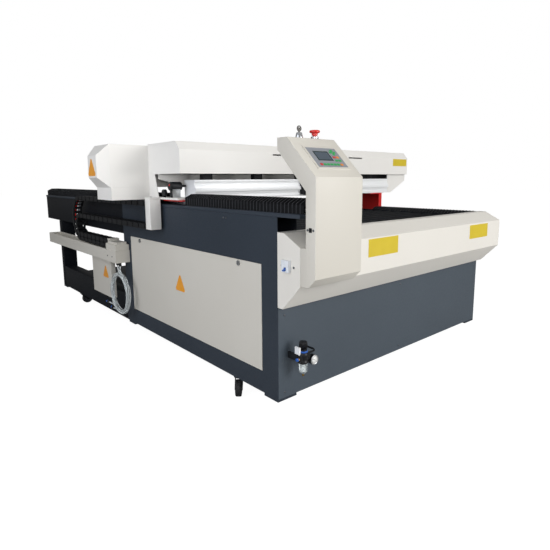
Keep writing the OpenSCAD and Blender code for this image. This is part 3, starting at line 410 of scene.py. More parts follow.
FLOOR_HALF = 30.0
square = np.array([[-1, -1, 0], [1, -1, 0], [1, 1, 0], [-1, 1, 0]]) * FLOOR_HALF
floor = mesh_piece("floor", square, [[0, 1, 2, 3]], smooth=False)
floor_paint = bpy.data.materials.new("pale_studio_floor")
floor_paint.use_nodes = True
floor_tree = floor_paint.node_tree
floor_shader = floor_tree.nodes["Principled BSDF"]
for key, value in {"Base Color": linear("#b4b4b4"), "Roughness": 0.9, "Specular IOR Level": 0.1}.items():
    floor_shader.inputs[key].default_value = value
SHADOW_SHARE = 0.5
UNLIT = 0.11
glow_level = (1.0 - SHADOW_SHARE * UNLIT) / (1.0 - SHADOW_SHARE)
glow = add(floor_tree, "ShaderNodeEmission", {"Color": linear(WHITE), "Strength": glow_level})
share = add(floor_tree, "ShaderNodeMath", {0: seen_directly(floor_tree), 1: 1.0 - SHADOW_SHARE},
            operation="MULTIPLY")
blend_floor = add(floor_tree, "ShaderNodeMixShader", {0: share.outputs[0], 1: floor_shader.outputs[0],
                                                     2: glow.outputs[0]})
floor_tree.links.new(blend_floor.outputs[0], floor_tree.nodes["Material Output"].inputs["Surface"])
floor.data.materials.append(floor_paint)
bpy.context.scene.view_settings.view_transform = "Standard"
print("studio ready")

# %% [markdown]
# ## Hoses
# Two clear hoses hang from glands under the cable tray and are wound into one hank, with a coupling on each
# free end. A hose goes round the hank and at the same time winds round the ring's core, so the turns lie
# beside each other and cross, as in a hank wound by hand. A smooth curve leads from the gland into the hank,
# and another from the hank to the coupling.

# %% Hose routes
HOSE_D = 8.0
HANK = np.array([1371.0, 286.0])
HANK_R = 116.0
HANK_X = -60.0
GLAND_Z = 452.0
WIND = 1.4
TURN_STEP = np.radians(6.0)
LEAD_POINTS = 14


def hermite(p0, d0, p1, d1, count):
    """Points of a cubic from p0 to p1 that leaves along d0 and arrives along d1."""
    t = np.linspace(0, 1, count, endpoint=False)[:, None]
    a, b = 2 * t**3 - 3 * t**2 + 1, t**3 - 2 * t**2 + t
    return a * p0 + b * d0 + (3 * t**2 - 2 * t**3) * p1 + (t**3 - t**2) * d1


def hose_route(gland_y, first, last, spread, phase, coupling):
    """Route of one hose: out of its gland, round the hank from one angle to another, and to its coupling.

    In the hank the hose winds round the ring's core: at angle a it lies off the core by spread times
    (sin, cos) of WIND a + phase, outwards and across.
    """
    angle = np.arange(np.radians(first), np.radians(last), TURN_STEP)
    radius = HANK_R + spread * np.sin(WIND * angle + phase)
    depth = HANK_X + spread * np.cos(WIND * angle + phase)
    spiral = HANK + radius[:, None] * np.column_stack([np.cos(angle), np.sin(angle)])
    start, end = np.array([gland_y, GLAND_Z]), np.array(coupling[1:], float)
    heading = np.diff(spiral, axis=0)
    heading /= np.linalg.norm(heading, axis=1)[:, None]
    lead = np.linalg.norm(spiral[0] - start)
    tail = np.linalg.norm(end - spiral[-1])
    way_in = hermite(start, np.array([0.0, -lead]), spiral[0], heading[0] * lead, LEAD_POINTS)
    way_out = hermite(spiral[-1], heading[-1] * tail, end, np.array([tail, 0.0]), LEAD_POINTS)
    flat = np.vstack([way_in, spiral[:-1], way_out, end])
    lead_in = np.linspace(HANK_X, depth[0], LEAD_POINTS)
    lead_out = np.linspace(depth[-1], coupling[0], LEAD_POINTS + 1)
    across = np.concatenate([lead_in, depth[:-1], lead_out])
    return np.array([at(x, y, z) for x, (y, z) in zip(across, flat)])


def hose(name, route):
    """A round hose along a route, as one open spline."""
    data = bpy.data.curves.new(name, "CURVE")
    data.dimensions = "3D"
    data.bevel_depth = HOSE_D / 2 * MM
    data.bevel_resolution = 3
    line = data.splines.new("POLY")
    line.points.add(len(route) - 1)
    line.points.foreach_set("co", np.column_stack([route, np.ones(len(route))]).ravel())
    line.use_smooth = True
    return placed_piece(new_object(name, data), "base", "hose", clear_hose, "hose_hank", "hose_tails")


# %% [markdown]
# Each gland is a ribbed black nut under the tray. Each coupling is a black sleeve with a blue release ring at
# its end, turned round the hose's last direction. Each row gives a gland's reading along the machine, the
# hose's first and last angle in degrees, its spread and phase, and the coupling's place.

# %% Hoses, glands and couplings
hose_rows = [(1352.0, 120, 1720, 11.0, 0.0, (-65.0, 1480.0, 170.0)),
             (1390.0, 110, 1020, 4.5, 1.0, (-65.0, 1550.0, 194.0))]
FITTING_SIDES = 24
gland_profile = [(0, 0), (7, 0), (9, 2), (9, 8), (7.5, 9), (7.5, 12), (9, 13), (9, 18), (0, 18)]
coupling_profile = [(0, 0), (6.5, 0), (7.5, 1), (7.5, 22), (6.5, 23), (6.5, 24), (0, 24)]
ring_profile = [(0, 24), (8, 24), (8, 31), (6.5, 34), (0, 34)]
for number, row in enumerate(hose_rows, 1):
    route, gland_foot, coupling_foot = hose_route(*row), at(HANK_X, row[0], GLAND_Z), at(*row[-1])
    gland = turned(f"hose_gland_{number}", gland_profile, gland_foot, UP, FITTING_SIDES)
    sleeve = turned(f"hose_coupling_{number}", coupling_profile, coupling_foot, REAR, FITTING_SIDES)
    ring = turned(f"coupling_ring_{number}", ring_profile, coupling_foot, REAR, FITTING_SIDES)
    for piece, material, slot in ((gland, black_plastic, "dark"), (sleeve, black_plastic, "dark"),
                                  (ring, blue_plastic, "blue")):
        placed_piece(piece, "base", slot, material, "hose_fittings")
    line = hose(f"hose_{number}", route)

# %% [markdown]
# ## Folded sheets, tubes and plates
# Sheet metal is folded over a die and tubes are drawn, so no edge is sharp: each has a small radius that
# catches the light. The CAD solids keep sharp edges. A copy of each such solid has its triangles joined into
# flat faces, gets a Bevel modifier of the real radius, and stands for the node. Plain sheets are shaded flat,
# so that a hole cut in a sheet leaves no streak on it. The cable tray's bracket is pressed down by a share of
# its height, to the chains that it holds.

# %% Softened copies
slot_of = {part["node"]: part["material_slot"] for part in frame["record"]["subparts"]}
CAD_SAME_POINT = 2e-6
FLAT_ANGLE = 0.02
FLAT_SHEETS = {"left_door", "left_wall", "right_wall", "front_panel", "apron", "cable_tray", "electrical_box",
               "long_cover", "tube_housing"}


def softened(node, width_mm, material):
    """A copy of a CAD node with its flat faces joined and its edges rounded by width_mm."""
    mesh = frame["nodes"][node].data.copy()
    mesh.materials.clear()
    work = bmesh.new()
    work.from_mesh(mesh)
    bmesh.ops.remove_doubles(work, verts=work.verts, dist=CAD_SAME_POINT)
    bmesh.ops.dissolve_limit(work, angle_limit=FLAT_ANGLE, verts=work.verts, edges=work.edges)
    work.to_mesh(mesh)
    work.free()
    shaded(mesh, node not in FLAT_SHEETS)
    piece = bevelled(new_object(node + "_sheet", mesh), width_mm)
    return placed_piece(piece, body_of[node], slot_of[node], material, node)


sheet_edges = {
    slate_coat: {"right_wall": 0.9, "front_panel": 0.9},
    # The left wall, rail bases and foot pads get the darker copy of the slate, which is painted shade.
    slate_coat_painted_shade: {"left_wall": 0.9, "rail_bases": 2.0, "foot_pads": 1.5},
    # Beams, posts and rails get the near-black slate tone.
    near_black_slate: {"side_beams": 1.8, "rear_posts": 1.8, "low_rails": 1.8, "cross_members": 2.0,
                      "bed_rails": 1.0},
    cream_coat: {"left_door": 1.0, "column": 3.0, "cable_tray": 0.8, "electrical_box": 2.0},
    ivory_coat: {"apron": 1.1},
    white_coat: {"long_cover": 0.8, "tube_housing": 0.8, "chain_post": 2.0},
    red_coat: {"gantry_feet": 1.5},
    anodised: {"cross_beam": 0.8},
    black_coat: {"rear_shelf": 1.0, "cover_bed": 1.0, "x_motor": 1.5, "head_carriage": 1.5},
    pale_plastic: {"breaker": 1.5},
}
sheets = {node: softened(node, width, material)
          for material, widths in sheet_edges.items() for node, width in widths.items()}


def reshaped(node, change):
    """Change the points of a softened copy: change takes them as rows of millimetres and returns them."""
    mesh = sheets[node].data
    points = np.zeros(3 * len(mesh.vertices))
    mesh.vertices.foreach_get("co", points)
    places = change(reading(points.reshape(-1, 3)))
    mesh.vertices.foreach_set("co", (corner + places * MM).ravel())


BLOCK_TOP, PRESS_SHARE = 579.0, 0.58
reshaped("cable_tray", lambda p: p - np.outer(np.maximum(p[:, 2] - BLOCK_TOP, 0), [0, 0, PRESS_SHARE]))
print("softened copies:", len(sheets))

# %% [markdown]
# Nodes that are right as they are only change their finish: turned and ground steel, the glass tube, the
# membrane panel.

# %% Finishes of the other nodes
kept_finishes = {
    dark_steel: ["slats"],
    white_coat: ["gantry_plates"],
    brushed_steel: ["guide_rails", "carriage_blocks"],
    zinc_plate: ["caster_plates", "lock_front", "lock_rear"],
    black_coat: [f"caster_fork_{i}" for i in range(1, 5)],
    # The key gets the chrome with the painted dark reflection.
    chrome_painted_dark: ["switch_key"],
    slate_coat: ["floor_pan"],
    brass: ["focus_tube"],
    glass_tube: ["laser_tube"],
    grey_plastic: ["control_panel"],
    screen_film: ["display"],
    blue_plastic: ["breaker_toggle"],
    black_plastic: ["pressure_gauge", "air_hose"],
    clear_bowl: ["filter_bowl"],
}
for material, nodes in kept_finishes.items():
    for node in nodes:
        mesh = frame["nodes"][node].data
        mesh.materials.clear()
        mesh.materials.append(material)
print("finished nodes:", sum(map(len, kept_finishes.values())))

# %% [markdown]
# ## Bellows
# A bellows is coated fabric folded in pleats over a frame, and it hides the guide rail. Its section is an
# upside-down U with sloping shoulders. Along its length the section shrinks and grows: at a fold's valley the
# U is smaller by the pleat's depth, at its ridge it has its full size. The fabric is flat from valley to
# ridge, so the size runs in straight lines between them. The narrow ridges get a paler colour, a painted
# highlight for the light that each ridge catches.

# %% Pleated covers
BELLOWS_W, BELLOWS_H, PLEAT_PITCH, PLEAT_DEPTH = 120.0, 54.0, 20.0, 9.0
CORNER_CUT = np.array([34.0, 17.0])
CLOTH_T = 2.0
RIDGE_FLAT = 0.06


def u_section(inset):
    """Outline of the U for each inset (an array), open below: width and height shrink with the inset."""
    half, top, zero = BELLOWS_W / 2 - inset, BELLOWS_H - inset, np.zeros_like(inset)
    left = [(-half, zero), (-half, top - CORNER_CUT[1]), (-half + CORNER_CUT[0], top)]
    right = [(-x, z) for x, z in reversed(left)]
    return np.stack([np.stack(p, -1) for p in left + right], 1)


def pleated_cover(name, node, x_middle, z_low, y_fixed, y_moving):
    """Bellows from its fixed end on the base to its moving end on the gantry."""
    count = int(abs(y_moving - y_fixed) // PLEAT_PITCH)
    inset_of = {0.0: 1.0, 0.5 - RIDGE_FLAT: 0.0, 0.5 + RIDGE_FLAT: 0.0}
    share = (np.arange(count)[:, None] + np.array(list(inset_of))).ravel() / count
    inset = np.tile(np.array(list(inset_of.values())) * PLEAT_DEPTH, count)
    share, inset = np.append(share, 1.0), np.append(inset, PLEAT_DEPTH)
    outside, inside = u_section(inset), u_section(inset + CLOTH_T)[:, ::-1]
    section = np.concatenate([outside, inside], 1)
    y = y_fixed + share * (y_moving - y_fixed)
    y = np.broadcast_to(y[:, None], section.shape[:2])
    grid = at(x_middle, 0, z_low) + np.stack([section[..., 0], y, section[..., 1]], -1) * MM
    piece = tube_grid(name, grid, smooth=False)
    piece.data.materials.append(bellows_cloth)
    # The ridge faces get the painted highlight.
    piece.data.materials.append(ridge_highlight)
    columns = section.shape[1]
    fold = np.arange(len(piece.data.polygons)) // columns
    on_ridge = (fold % len(inset_of) == 1) & (fold < len(share) - 1)
    piece.data.polygons.foreach_set("material_index", on_ridge.astype(np.int32))
    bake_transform(piece)
    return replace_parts(piece, node)


RAIL_X, RAIL_Z, RAIL_DROP, BASE_W = 72.0, 833.0, 122.0, 1600.0
LEFT_END_Y, RIGHT_END_Y, REAR_END_Y = -120.0, 3.0, 3046.0
GANTRY_FRONT_Y, GANTRY_REAR_Y = 698.0, 984.0
sides = {"left": (RAIL_X, RAIL_Z, LEFT_END_Y), "right": (BASE_W - RAIL_X, RAIL_Z - RAIL_DROP, RIGHT_END_Y)}
for side, (x_middle, z_low, y_front) in sides.items():
    pleated_cover(f"front_bellows_{side}", "front_bellows", x_middle, z_low, y_front, GANTRY_FRONT_Y)
    pleated_cover(f"rear_bellows_{side}", "rear_bellows", x_middle, z_low, REAR_END_Y, GANTRY_REAR_Y)
print("bellows:", 2 * len(sides))

# %% [markdown]
# ## Energy chains
# Each chain is a row of moulded links. A link has two side plates shaped like a bar with round ends, and two
# crossbars that hold the cables in. The plates of every second link sit inside those of its neighbours, so
# the ends can turn on each other. One link is drawn once as arrays of points, and numpy carries it to every
# place of the chain: along the lower run, round the bend, and back along the upper run.

# %% One link and the chain's path
LINK_H, LINK_PITCH, CHAIN_W = 28.0, 36.0, 60.0
PLATE_T, BAR_T, BAR_L, BAR_INSET = 4.0, 3.0, 17.0, 1.0
ROUND_STEPS = 8


def side_plate():
    """Outline of a side plate: two half circles of the link's height, one pitch apart."""
    turn = np.linspace(-np.pi / 2, np.pi / 2, ROUND_STEPS)
    cap = LINK_H / 2 * np.column_stack([np.cos(turn), np.sin(turn)])
    return np.vstack([cap + [LINK_PITCH / 2, 0], -cap - [LINK_PITCH / 2, 0]])


def link_mesh(plate_offset):
    """Points (across, along, up) and faces of one link, with its plates moved inwards by plate_offset."""
    outline, points, faces = side_plate(), [], []
    n = len(outline)
    for sign in (-1, 1):
        outer = sign * (CHAIN_W / 2 - plate_offset)
        for x in (outer, outer - sign * PLATE_T):
            points += [(x, *p) for p in outline]
        base = len(points) - 2 * n
        faces += [[base + i, base + (i + 1) % n, base + n + (i + 1) % n, base + n + i] for i in range(n)]
        faces += [[base + i for i in range(n)], [base + n + i for i in range(n)]]
    half = CHAIN_W / 2 - plate_offset - PLATE_T
    for up in (-LINK_H / 2 + BAR_INSET, LINK_H / 2 - BAR_T - BAR_INSET):
        faces += (BOX_FACES + len(points)).tolist()
        points += box_points((-half, -BAR_L / 2, up), (half, BAR_L / 2, up + BAR_T)).tolist()
    return np.array(points), faces


def chain_path(s, run, r):
    """Place (along, up) and direction at length s: straight, half circle of radius r, straight back."""
    arc = np.pi * r
    turn = np.clip((s - run) / r, 0, np.pi)
    along = np.where(s < run + arc, np.minimum(s, run) + r * np.sin(turn), run - (s - run - arc))
    return np.column_stack([along, r - r * np.cos(turn)]), turn


# %% [markdown]
# When the gantry moves, the lower run stays, the upper run travels with it, and the bend follows at half the
# speed. So each chain is drawn as two pieces that meet at the back of the bend, a lower and an upper one.
# A chain's run is given by the height of its lower part, the place where its bend begins and the bend's
# radius.

# %% The two nested chains
CHAIN_X, TRAY_BLOCK_Y, POST_Y = -45.0, 1495.0, 945.0
OUTER_RUN = (559.0, 1977.0, 139.0)
INNER_RUN = (590.0, 1989.0, 64.0)
LINK_EDGE = 0.8
link_kinds = [link_mesh(0.0), link_mesh(PLATE_T)]


def halves(z_low, bend_y, r):
    """Both halves of a run: name, span of length, bodies, and the two ends of each half."""
    run, back = bend_y - TRAY_BLOCK_Y, bend_y - POST_Y
    half, total = run + np.pi * r / 2, run + np.pi * r + back
    for part, span, fixed_y, bodies in (("lower", (0.0, half), TRAY_BLOCK_Y, ("base", "gantry")),
                                        ("upper", (half, total), POST_Y, ("gantry", "base"))):
        yield part, span, bodies, at(CHAIN_X, fixed_y, z_low), at(CHAIN_X, 2 * (bend_y + r) - fixed_y, z_low)


def chain(name, z_low, bend_y, r):
    """A chain from the tray's block round its bend to the gantry's post, as a lower and an upper piece."""
    run, back = bend_y - TRAY_BLOCK_Y, bend_y - POST_Y
    total = run + np.pi * r + back
    count = int(total // LINK_PITCH)
    middle = (np.arange(count) + 0.5) * total / count
    place, turn = chain_path(middle, run, r)
    for part, (first, last), bodies, start, end in halves(z_low, bend_y, r):
        points, faces = [], []
        for i in np.flatnonzero((middle >= first) & (middle < last)):
            link, link_faces = link_kinds[i % 2]
            c, s = np.cos(turn[i]), np.sin(turn[i])
            y = TRAY_BLOCK_Y + place[i, 0] + link[:, 1] * c - link[:, 2] * s
            z = z_low + place[i, 1] + link[:, 1] * s + link[:, 2] * c
            faces += [[len(link) * len(points) + k for k in f] for f in link_faces]
            points.append(at(CHAIN_X, 0, 0) + np.column_stack([link[:, 0], y, z]) * MM)
        piece = outward(mesh_piece(f"{name}_{part}", np.vstack(points), faces, smooth=False))
        bevelled(piece, LINK_EDGE, segments=1)
        piece.data.materials.append(chain_nylon)
        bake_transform(piece)
        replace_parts(piece, "energy_chains")
    print(name, count, "links")


chain("outer_chain", *OUTER_RUN)
chain("inner_chain", *INNER_RUN)

# %% [markdown]
# ## Control panel
# The panel lies on the column's sloping face. One function turns a place on that face, across, up the slope
# and out of it, into a point of the frame. The keys are domes pressed into the membrane: small rounded pads
# here, in the usual colours of start, stop and hold. The screen is a smooth dark pane behind the film.

# %% Keys and screen
SLOPE_FOOT = np.array([0.0, -198.0, 962.0])
SLOPE = np.arctan2(142.0, 144.0)
SLOPE_AXES = np.array([[1, 0, 0], [0, np.cos(SLOPE), np.sin(SLOPE)], [0, -np.sin(SLOPE), np.cos(SLOPE)]])
FILM_OUT = 3.0
KEY_SIZE, KEY_EDGE = (13.0, 9.4), 1.2
KEY_STEP, ROW_KEYS = 17.5, 7
PANE_AT, PANE_SIZE, PANE_EDGE = (110.0, 104.5), (66.0, 38.0), 0.2
PANE_OUT, KEY_OUT = (FILM_OUT - 0.5, FILM_OUT + 0.3), (FILM_OUT, FILM_OUT + 1.5)


def slope_pads(name, middles, size, out, material, slot, bevel_mm):
    """Rounded pads on the sloping face, from their middles and size in millimetres."""
    half = np.array(size) / 2
    lows = [np.append(m - half, out[0]) for m in middles]
    highs = [np.append(m + half, out[1]) for m in middles]
    points = np.array([box_points(a, b) for a, b in zip(lows, highs)])
    places = np.array([at(*(SLOPE_FOOT + p @ SLOPE_AXES)) for p in points.reshape(-1, 3)])
    piece = bevelled(mesh_piece(name, places, box_faces(len(points))), bevel_mm, 3)
    return placed_piece(piece, "base", slot, material)


low_row = [(70 + KEY_STEP * i, 60.0) for i in range(ROW_KEYS)]
low_pair, high_pair = [[(x, y) for x in (162.75, 180.25)] for y in (81.0, 98.0)]
cross = [(171.5, 133.0), (162.0, 123.5), (181.0, 123.5), (171.5, 114.0)]
key_sets = {"green": (green_key, low_row[1:-1] + low_pair + cross),
            "red": (red_key, [low_row[0], high_pair[0]]),
            "orange": (orange_key, [low_row[-1], high_pair[1]])}
for name, (material, middles) in key_sets.items():
    slope_pads(f"{name}_keys", middles, KEY_SIZE, KEY_OUT, material, "panel", KEY_EDGE)
slope_pads("screen_pane", [PANE_AT], PANE_SIZE, PANE_OUT, pane_film, "screen", PANE_EDGE)
print("keys:", sum(len(middles) for material, middles in key_sets.values()))

# %% [markdown]
# ## Stop button and key bezel
# The stop button is a moulded mushroom head on a stem. It is a profile turned round its axis, with the
# rounded rim that a palm meets first. Its collar and the key's tall bezel are chromed rings.

# %% Stop button and rings
STOP_X, KEY_X, SWITCH_Y, TOP_Z = 166.0, 85.0, -28.0, 1104.0
STOP_EDGE, RING_EDGE = 0.4, 0.5
mushroom = [(0, 4.5), (8, 4.5), (8, 14.5), (11.5, 14.5), (11.5, 22.5), (17, 23.5), (19.4, 25.5), (20, 28),
            (19.6, 31), (18, 33), (15, 33.8), (0, 34)]
collar_profile = [(8.6, 0), (16, 0), (16, 1.5), (14.5, 3), (14.5, 9), (13.5, 10), (8.6, 10)]
bezel_profile = [(7.6, 0), (15, 0), (14.6, 2), (10.6, 19), (9.6, 21), (5.5, 21), (5.5, 10), (7.6, 10)]


def ring_piece(name, profile, origin, axis):
    """A closed profile of (radius, height) pairs turned round an axis, with a hole in the middle."""
    piece = turned(name, profile, origin, axis)
    work = bmesh.new()
    work.from_mesh(piece.data)
    caps = [face for face in work.faces if len(face.verts) > 4]
    rims = [edge for face in caps for edge in face.edges]
    bmesh.ops.delete(work, geom=caps, context="FACES_ONLY")
    bmesh.ops.bridge_loops(work, edges=[edge for edge in rims if edge.is_valid])
    bmesh.ops.recalc_face_normals(work, faces=work.faces)
    work.to_mesh(piece.data)
    work.free()
    shaded(piece.data, True)
    return bevelled(piece, RING_EDGE)


stop = bevelled(turned("stop_button", mushroom, at(STOP_X, SWITCH_Y, TOP_Z), UP, segments=64), STOP_EDGE)
placed_piece(stop, "estop_button", "red_plastic", red_plastic, "estop_button")
for name, profile, x in (("stop_collar", collar_profile, STOP_X), ("key_bezel", bezel_profile, KEY_X)):
    ring = ring_piece(name, profile, at(x, SWITCH_Y, TOP_Z), UP)
    placed_piece(ring, "base", slot_of["switch_collars"], bright_chrome, "switch_collars")
print("stop button and rings ready")

# %% [markdown]
# ## Air regulator
# The regulator is a die-cast body with a ribbed knob on top, a clear filter bowl with its white element and
# brass drain below, a gauge at its side and a push-in port. A bracket with a bright tab holds it on the front
# panel. The knob's radius follows a cosine of the angle, which makes its ribs. Boxes are given from the
# regulator's middle.

# %% Regulator, knob and bowl
REGULATOR = (78.0, -60.0, 282.0)
body_profile = [(0, -32), (18.5, -32), (20, -30), (20, -24), (18, -22), (18, -8), (20, -6), (20, 8), (16, 12),
                (15, 13), (15, 26), (0, 26)]
KNOB_RIBS, RIB_DEPTH, RIB_FROM = 24, 0.7, 12.0


def ribbed(name, profile, origin, ribs, depth_mm, segments):
    """A profile turned round Z, with n ribs: the radius is r + d cos(n a) where r is over RIB_FROM."""
    profile = np.array(profile, float)
    turn = np.linspace(0, 2 * np.pi, segments, endpoint=False)
    wave = depth_mm * np.cos(ribs * turn)
    radius = profile[:, :1] + np.where(profile[:, :1] > RIB_FROM, wave, 0.0)
    height = np.broadcast_to(profile[:, 1:], radius.shape)
    grid = np.stack([radius * np.cos(turn), radius * np.sin(turn), height], -1)
    return tube_grid(name, origin + grid * MM)


spot = at(*REGULATOR)
regulator_body = turned("regulator_body", body_profile, spot, UP)
placed_piece(regulator_body, "base", "dark", black_plastic, "regulator")
ring_shape = [(0, 12.5), (17.5, 12.5), (18, 13.5), (18, 18), (17.5, 19), (0, 19)]
ring = turned("regulator_ring", ring_shape, spot, UP)
placed_piece(ring, "base", "blue", blue_plastic, "regulator")
bars = {"regulator_arm": ((-28, -12, -22), (26, 12, 4), 3.0, "dark", black_plastic),
        "regulator_bracket": ((-26, 0, -22), (-20, 60, 6), 1.0, "dark", black_coat),
        "bracket_tab": ((-25, -4, 4), (-17, 22, 34), 1.0, "alu", anodised)}
for name, (low, high, edge, slot, material) in bars.items():
    bar = boxes(name, [at(*np.add(REGULATOR, low))], [at(*np.add(REGULATOR, high))], edge)
    placed_piece(bar, "base", slot, material, "regulator")
knob_profile = [(0, 16.3), (5, 16.3), (5, 26.3), (13.5, 26.3), (13.5, 31.3), (16, 31.6), (16, 45), (15, 52),
                (13, 55), (0, 55)]
knob = ribbed("regulator_knob_ribbed", knob_profile, spot, KNOB_RIBS, RIB_DEPTH, segments=192)
placed_piece(knob, "regulator_knob", "dark", black_plastic, "regulator_knob")
port_foot = at(*np.add(REGULATOR, (-27, -6, -9)))
port_shapes = {"port_fitting": ([(0, 0), (5.5, 0), (5.5, 8), (0, 8)], "brass", brass),
               "port_ring": ([(0, 8), (6.5, 8), (6.5, 13), (5.5, 14), (0, 14)], "blue", blue_plastic)}
for name, (shape, slot, material) in port_shapes.items():
    placed_piece(turned(name, shape, port_foot, LEFT, segments=24), "base", slot, material)
element = turned("filter_element", [(0, -66), (7, -66), (7, -36), (0, -36)], spot, UP, segments=32)
placed_piece(element, "base", None, white_nylon)
drain_profile = [(0, -85), (4.4, -85), (4.4, -78), (6, -76.5), (0, -75)]
drain = turned("bowl_drain", drain_profile, spot, UP, segments=32)
placed_piece(drain, "base", "brass", brass)
print("regulator ready")

# %% [markdown]
# The gauge has a plated rim, a white dial with a ring of marks over three quarters of a turn, and a needle.
# Marks and needle are small boxes turned into place.

# %% Pressure gauge
DIAL = at(125.0, -76.0, 254.0)
rim_shape = [(16, -0.6), (17, 1.6), (19, 1.8), (19.8, 0.6), (19.8, -3), (16, -3)]
rim = turned("gauge_rim", rim_shape, DIAL, FRONT)
placed_piece(rim, "base", "steel", zinc_plate)
dial = turned("gauge_dial", [(0, 0.2), (17, 0.2), (17, 0.6), (0, 0.6)], DIAL, FRONT)
placed_piece(dial, "base", None, white_nylon)
MARKS, HALF_SWEEP, NEEDLE_ANGLE = 25, np.radians(135), np.radians(-60)
LONG_MARK, SHORT_MARK, LONG_EVERY = (11.0, 15.5, 0.9), (13.0, 15.5, 0.5), 6
NEEDLE, MARK_OUT = (-4.0, 12.5, 1.0), (-1.0, -0.6)


def dial_bar(angle, inner, outer, width):
    """Corners of a thin bar on the dial from one radius to another, at an angle from the top."""
    flat = box_points((-width / 2, MARK_OUT[0], inner), (width / 2, MARK_OUT[1], outer))
    c, s = np.cos(angle), np.sin(angle)
    across, up = flat[:, 0] * c + flat[:, 2] * s, flat[:, 2] * c - flat[:, 0] * s
    return DIAL + np.column_stack([across, flat[:, 1], up]) * MM


angles = np.linspace(-HALF_SWEEP, HALF_SWEEP, MARKS)
marks = [dial_bar(a, *(SHORT_MARK if i % LONG_EVERY else LONG_MARK)) for i, a in enumerate(angles)]
marks.append(dial_bar(NEEDLE_ANGLE, *NEEDLE))
face_marks = mesh_piece("gauge_marks", np.array(marks), box_faces(len(marks)), smooth=False)
placed_piece(face_marks, "base", "dark", black_plastic)
print("gauge marks:", MARKS)

# %% [markdown]
# ## Casters
# A caster wheel is a rubber tyre moulded on a plastic hub. Both are rings: a closed profile turned round the
# wheel's axle. The hub has a sunken web between rim and bearing seat, as mouldings have for even walls.

# %% Caster wheels
CASTERS = [(42.0, 315.0, -132.0), (1558.0, 315.0, -40.0), (42.0, 2377.0, 0.0), (1558.0, 2377.0, 25.0)]
TRAIL, AXLE_Z = 28.0, 37.5
tyre_half = [(27, -12.5), (31, -13.6), (34.5, -13), (36.6, -11), (37.5, -7)]
tyre_profile = tyre_half + [(r, -v) for r, v in reversed(tyre_half)]
hub_half = [(5.1, -13.5), (10, -13.5), (11.5, -12), (12.5, -6), (23, -6), (24, -12), (27, -12.6)]
hub_profile = hub_half + [(r, -v) for r, v in reversed(hub_half)]
for number, (x, y, heading) in enumerate(CASTERS, 1):
    c, s = np.cos(np.radians(heading)), np.sin(np.radians(heading))
    centre, axle = at(x + TRAIL * c, y + TRAIL * s, AXLE_Z), (-s, c, 0.0)
    body = f"caster_wheel_{number}"
    placed_piece(ring_piece(f"tyre_{number}", tyre_profile, centre, axle), body, "rubber", black_rubber, body)
    placed_piece(ring_piece(f"hub_{number}", hub_profile, centre, axle), body, "dark", hub_plastic, body)
print("casters:", len(CASTERS))

# %% [markdown]
# ## Plates and marks
# Plain film plates mark the places where such machines carry notices: three yellow oblongs and three amber
# triangles. They are left bare. Each is under a millimetre thick and lies on its sheet. The housing's end is
# set back by the film's thickness, because that end is as far as the machine reaches. A black strip on the
# beam is painted shade: it darkens the slit under the cover, where there is only shadow.

# %% Yellow plates and amber triangles
FILM_T = 0.6
APRON_Y, COVER_Y, NOSE_X = -122.0, 681.0, -280.0
CUT = 0.06
yellow = boxes("apron_plates", [at(388, APRON_Y - FILM_T, 636), at(1246, APRON_Y - FILM_T, 635)],
               [at(595, APRON_Y, 711), at(1450, APRON_Y, 708)])
placed_piece(yellow, "base", None, yellow_film)
# This black strip is painted shade in the slit between cover and beam, not a real part.
strip = boxes("painted_shade_strip", [at(1450, 776, 955)], [at(1750, 779, 985)])
placed_piece(strip, "gantry", "dark", black_coat)
tag = boxes("cover_plate", [at(1684, COVER_Y - FILM_T, 1044)], [at(1848, COVER_Y, 1093)])
placed_piece(tag, "gantry", None, yellow_film)


def triangle(name, body, x_face, y_span, z_span):
    """A plain triangular film on a face that looks to the left, point up, with its corners cut."""
    low, high = np.array([y_span, z_span]).T
    shape = np.array([[0, CUT * 2], [CUT, 0], [1 - CUT, 0], [1, CUT * 2], [0.5 + CUT, 1], [0.5 - CUT, 1]])
    flat = low + shape * (high - low)
    grid = np.array([[at(x, y, z) for y, z in flat] for x in (x_face - FILM_T, x_face)])
    return placed_piece(tube_grid(name, grid, smooth=False), body, None, amber_film)


triangle("door_triangle", "base", 0.0, (701, 792), (401, 481))
triangle("box_triangle", "base", -30.0, (1627, 1716), (330, 406))
reshaped("tube_housing", lambda p: np.maximum(p, [NOSE_X + FILM_T, -np.inf, -np.inf]))
triangle("housing_triangle", "gantry", NOSE_X + FILM_T, (1045, 1145), (977, 1061))
print("plates ready")

# %% [markdown]
# ## Screws and small hardware
# Sheet covers are held by pan-head screws. One screw head is a small dome turned round the sheet's normal,
# and the same dome goes to every place. The column gets a small black port, and the drive motor a red cap
# and a plated foot.

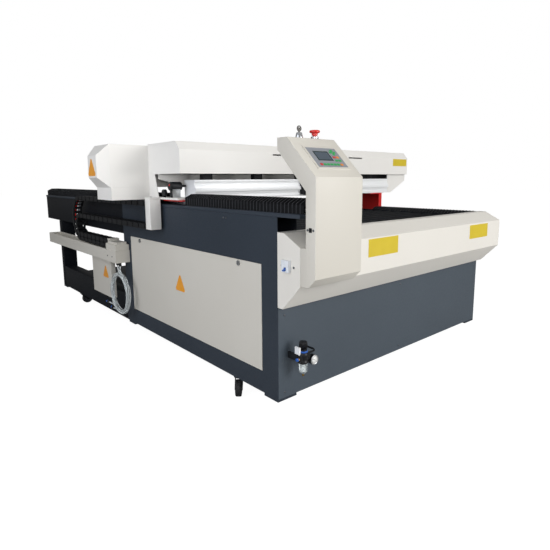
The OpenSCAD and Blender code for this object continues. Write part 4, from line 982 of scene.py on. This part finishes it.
# %% Screw heads and small hardware
screw_dome = [(0, 0), (4.5, 0), (4.5, 0.8), (3.6, 1.8), (2.0, 2.3), (0, 2.4)]
front_places = [(35, 0, 436), (35, 0, 121), (808, 0, 439), (1565, 0, 436), (1565, 0, 121), (808, 0, 121)]
left_places = [(0, -25, 640), (0, -90, 640), (0, -160, 782), (0, -188, 782), (0, 330, 795), (0, 350, 795),
               (-87, 1400, 505), (-87, 1470, 505)]
for places, axis, side in ((front_places, FRONT, "front"), (left_places, LEFT, "left")):
    for i, place in enumerate(places, 1):
        head = turned(f"screw_{side}_{i}", screw_dome, at(*place), axis, segments=20)
        placed_piece(head, "base", "steel", screw_steel)
cap_profile = [(0, 0), (5, 0), (5, 1.2), (4, 2), (0, 2)]
motor_cap = turned("motor_cap", cap_profile, at(-14, 790, 930), LEFT, segments=24)
placed_piece(motor_cap, "gantry", "red_plastic", red_plastic)
port = boxes("column_port", [at(-2.0, -181, 774)], [at(0, -167, 790)], 0.8)
placed_piece(port, "base", "dark", black_plastic)
drive = sheets["x_motor"].data
drive.materials.append(zinc_plate)
FOOT_TOP, FOOT_REAR = 900.0, 840.0
for face in drive.polygons:
    y, z = reading(face.center)[1:]
    face.material_index = int(z < FOOT_TOP and y < FOOT_REAR)
print("screws:", len(front_places) + len(left_places))

# %% [markdown]
# ## Cables in the chain
# The chain's open links show the cables inside: a red and a white lead and a grey air line. Each is a round
# tube carried along the same path as the links, on the inner side of the bend.

# %% Cables
CABLE_R, CABLE_STEP, INWARDS = 4.5, 13.0, 5.0
CABLE_SIDES, CABLE_POINTS = 10, 60


def cable(name, offset, material, z_low, bend_y, r):
    """A round tube along each half of a chain's run, moved across the chain by an offset."""
    ring = np.linspace(0, 2 * np.pi, CABLE_SIDES, endpoint=False)
    across, up = CABLE_R * np.cos(ring), CABLE_R * np.sin(ring) + INWARDS
    for part, span, bodies, start, end in halves(z_low, bend_y, r):
        place, turn = chain_path(np.linspace(*span, CABLE_POINTS), bend_y - TRAY_BLOCK_Y, r)
        y = TRAY_BLOCK_Y + place[:, :1] - np.sin(turn)[:, None] * up
        z = z_low + place[:, 1:] + np.cos(turn)[:, None] * up
        x = np.broadcast_to(CHAIN_X + offset + across, y.shape)
        piece = tube_grid(f"{name}_{part}", corner + np.stack([x, y, z], -1) * MM)
        piece.data.materials.append(material)
        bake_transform(piece)


leads = {"red_lead": (-CABLE_STEP, red_plastic), "white_lead": (0.0, white_nylon),
         "grey_line": (CABLE_STEP, grey_plastic)}
for name, (offset, material) in leads.items():
    cable(name, offset, material, *OUTER_RUN)
print("cables:", len(leads))
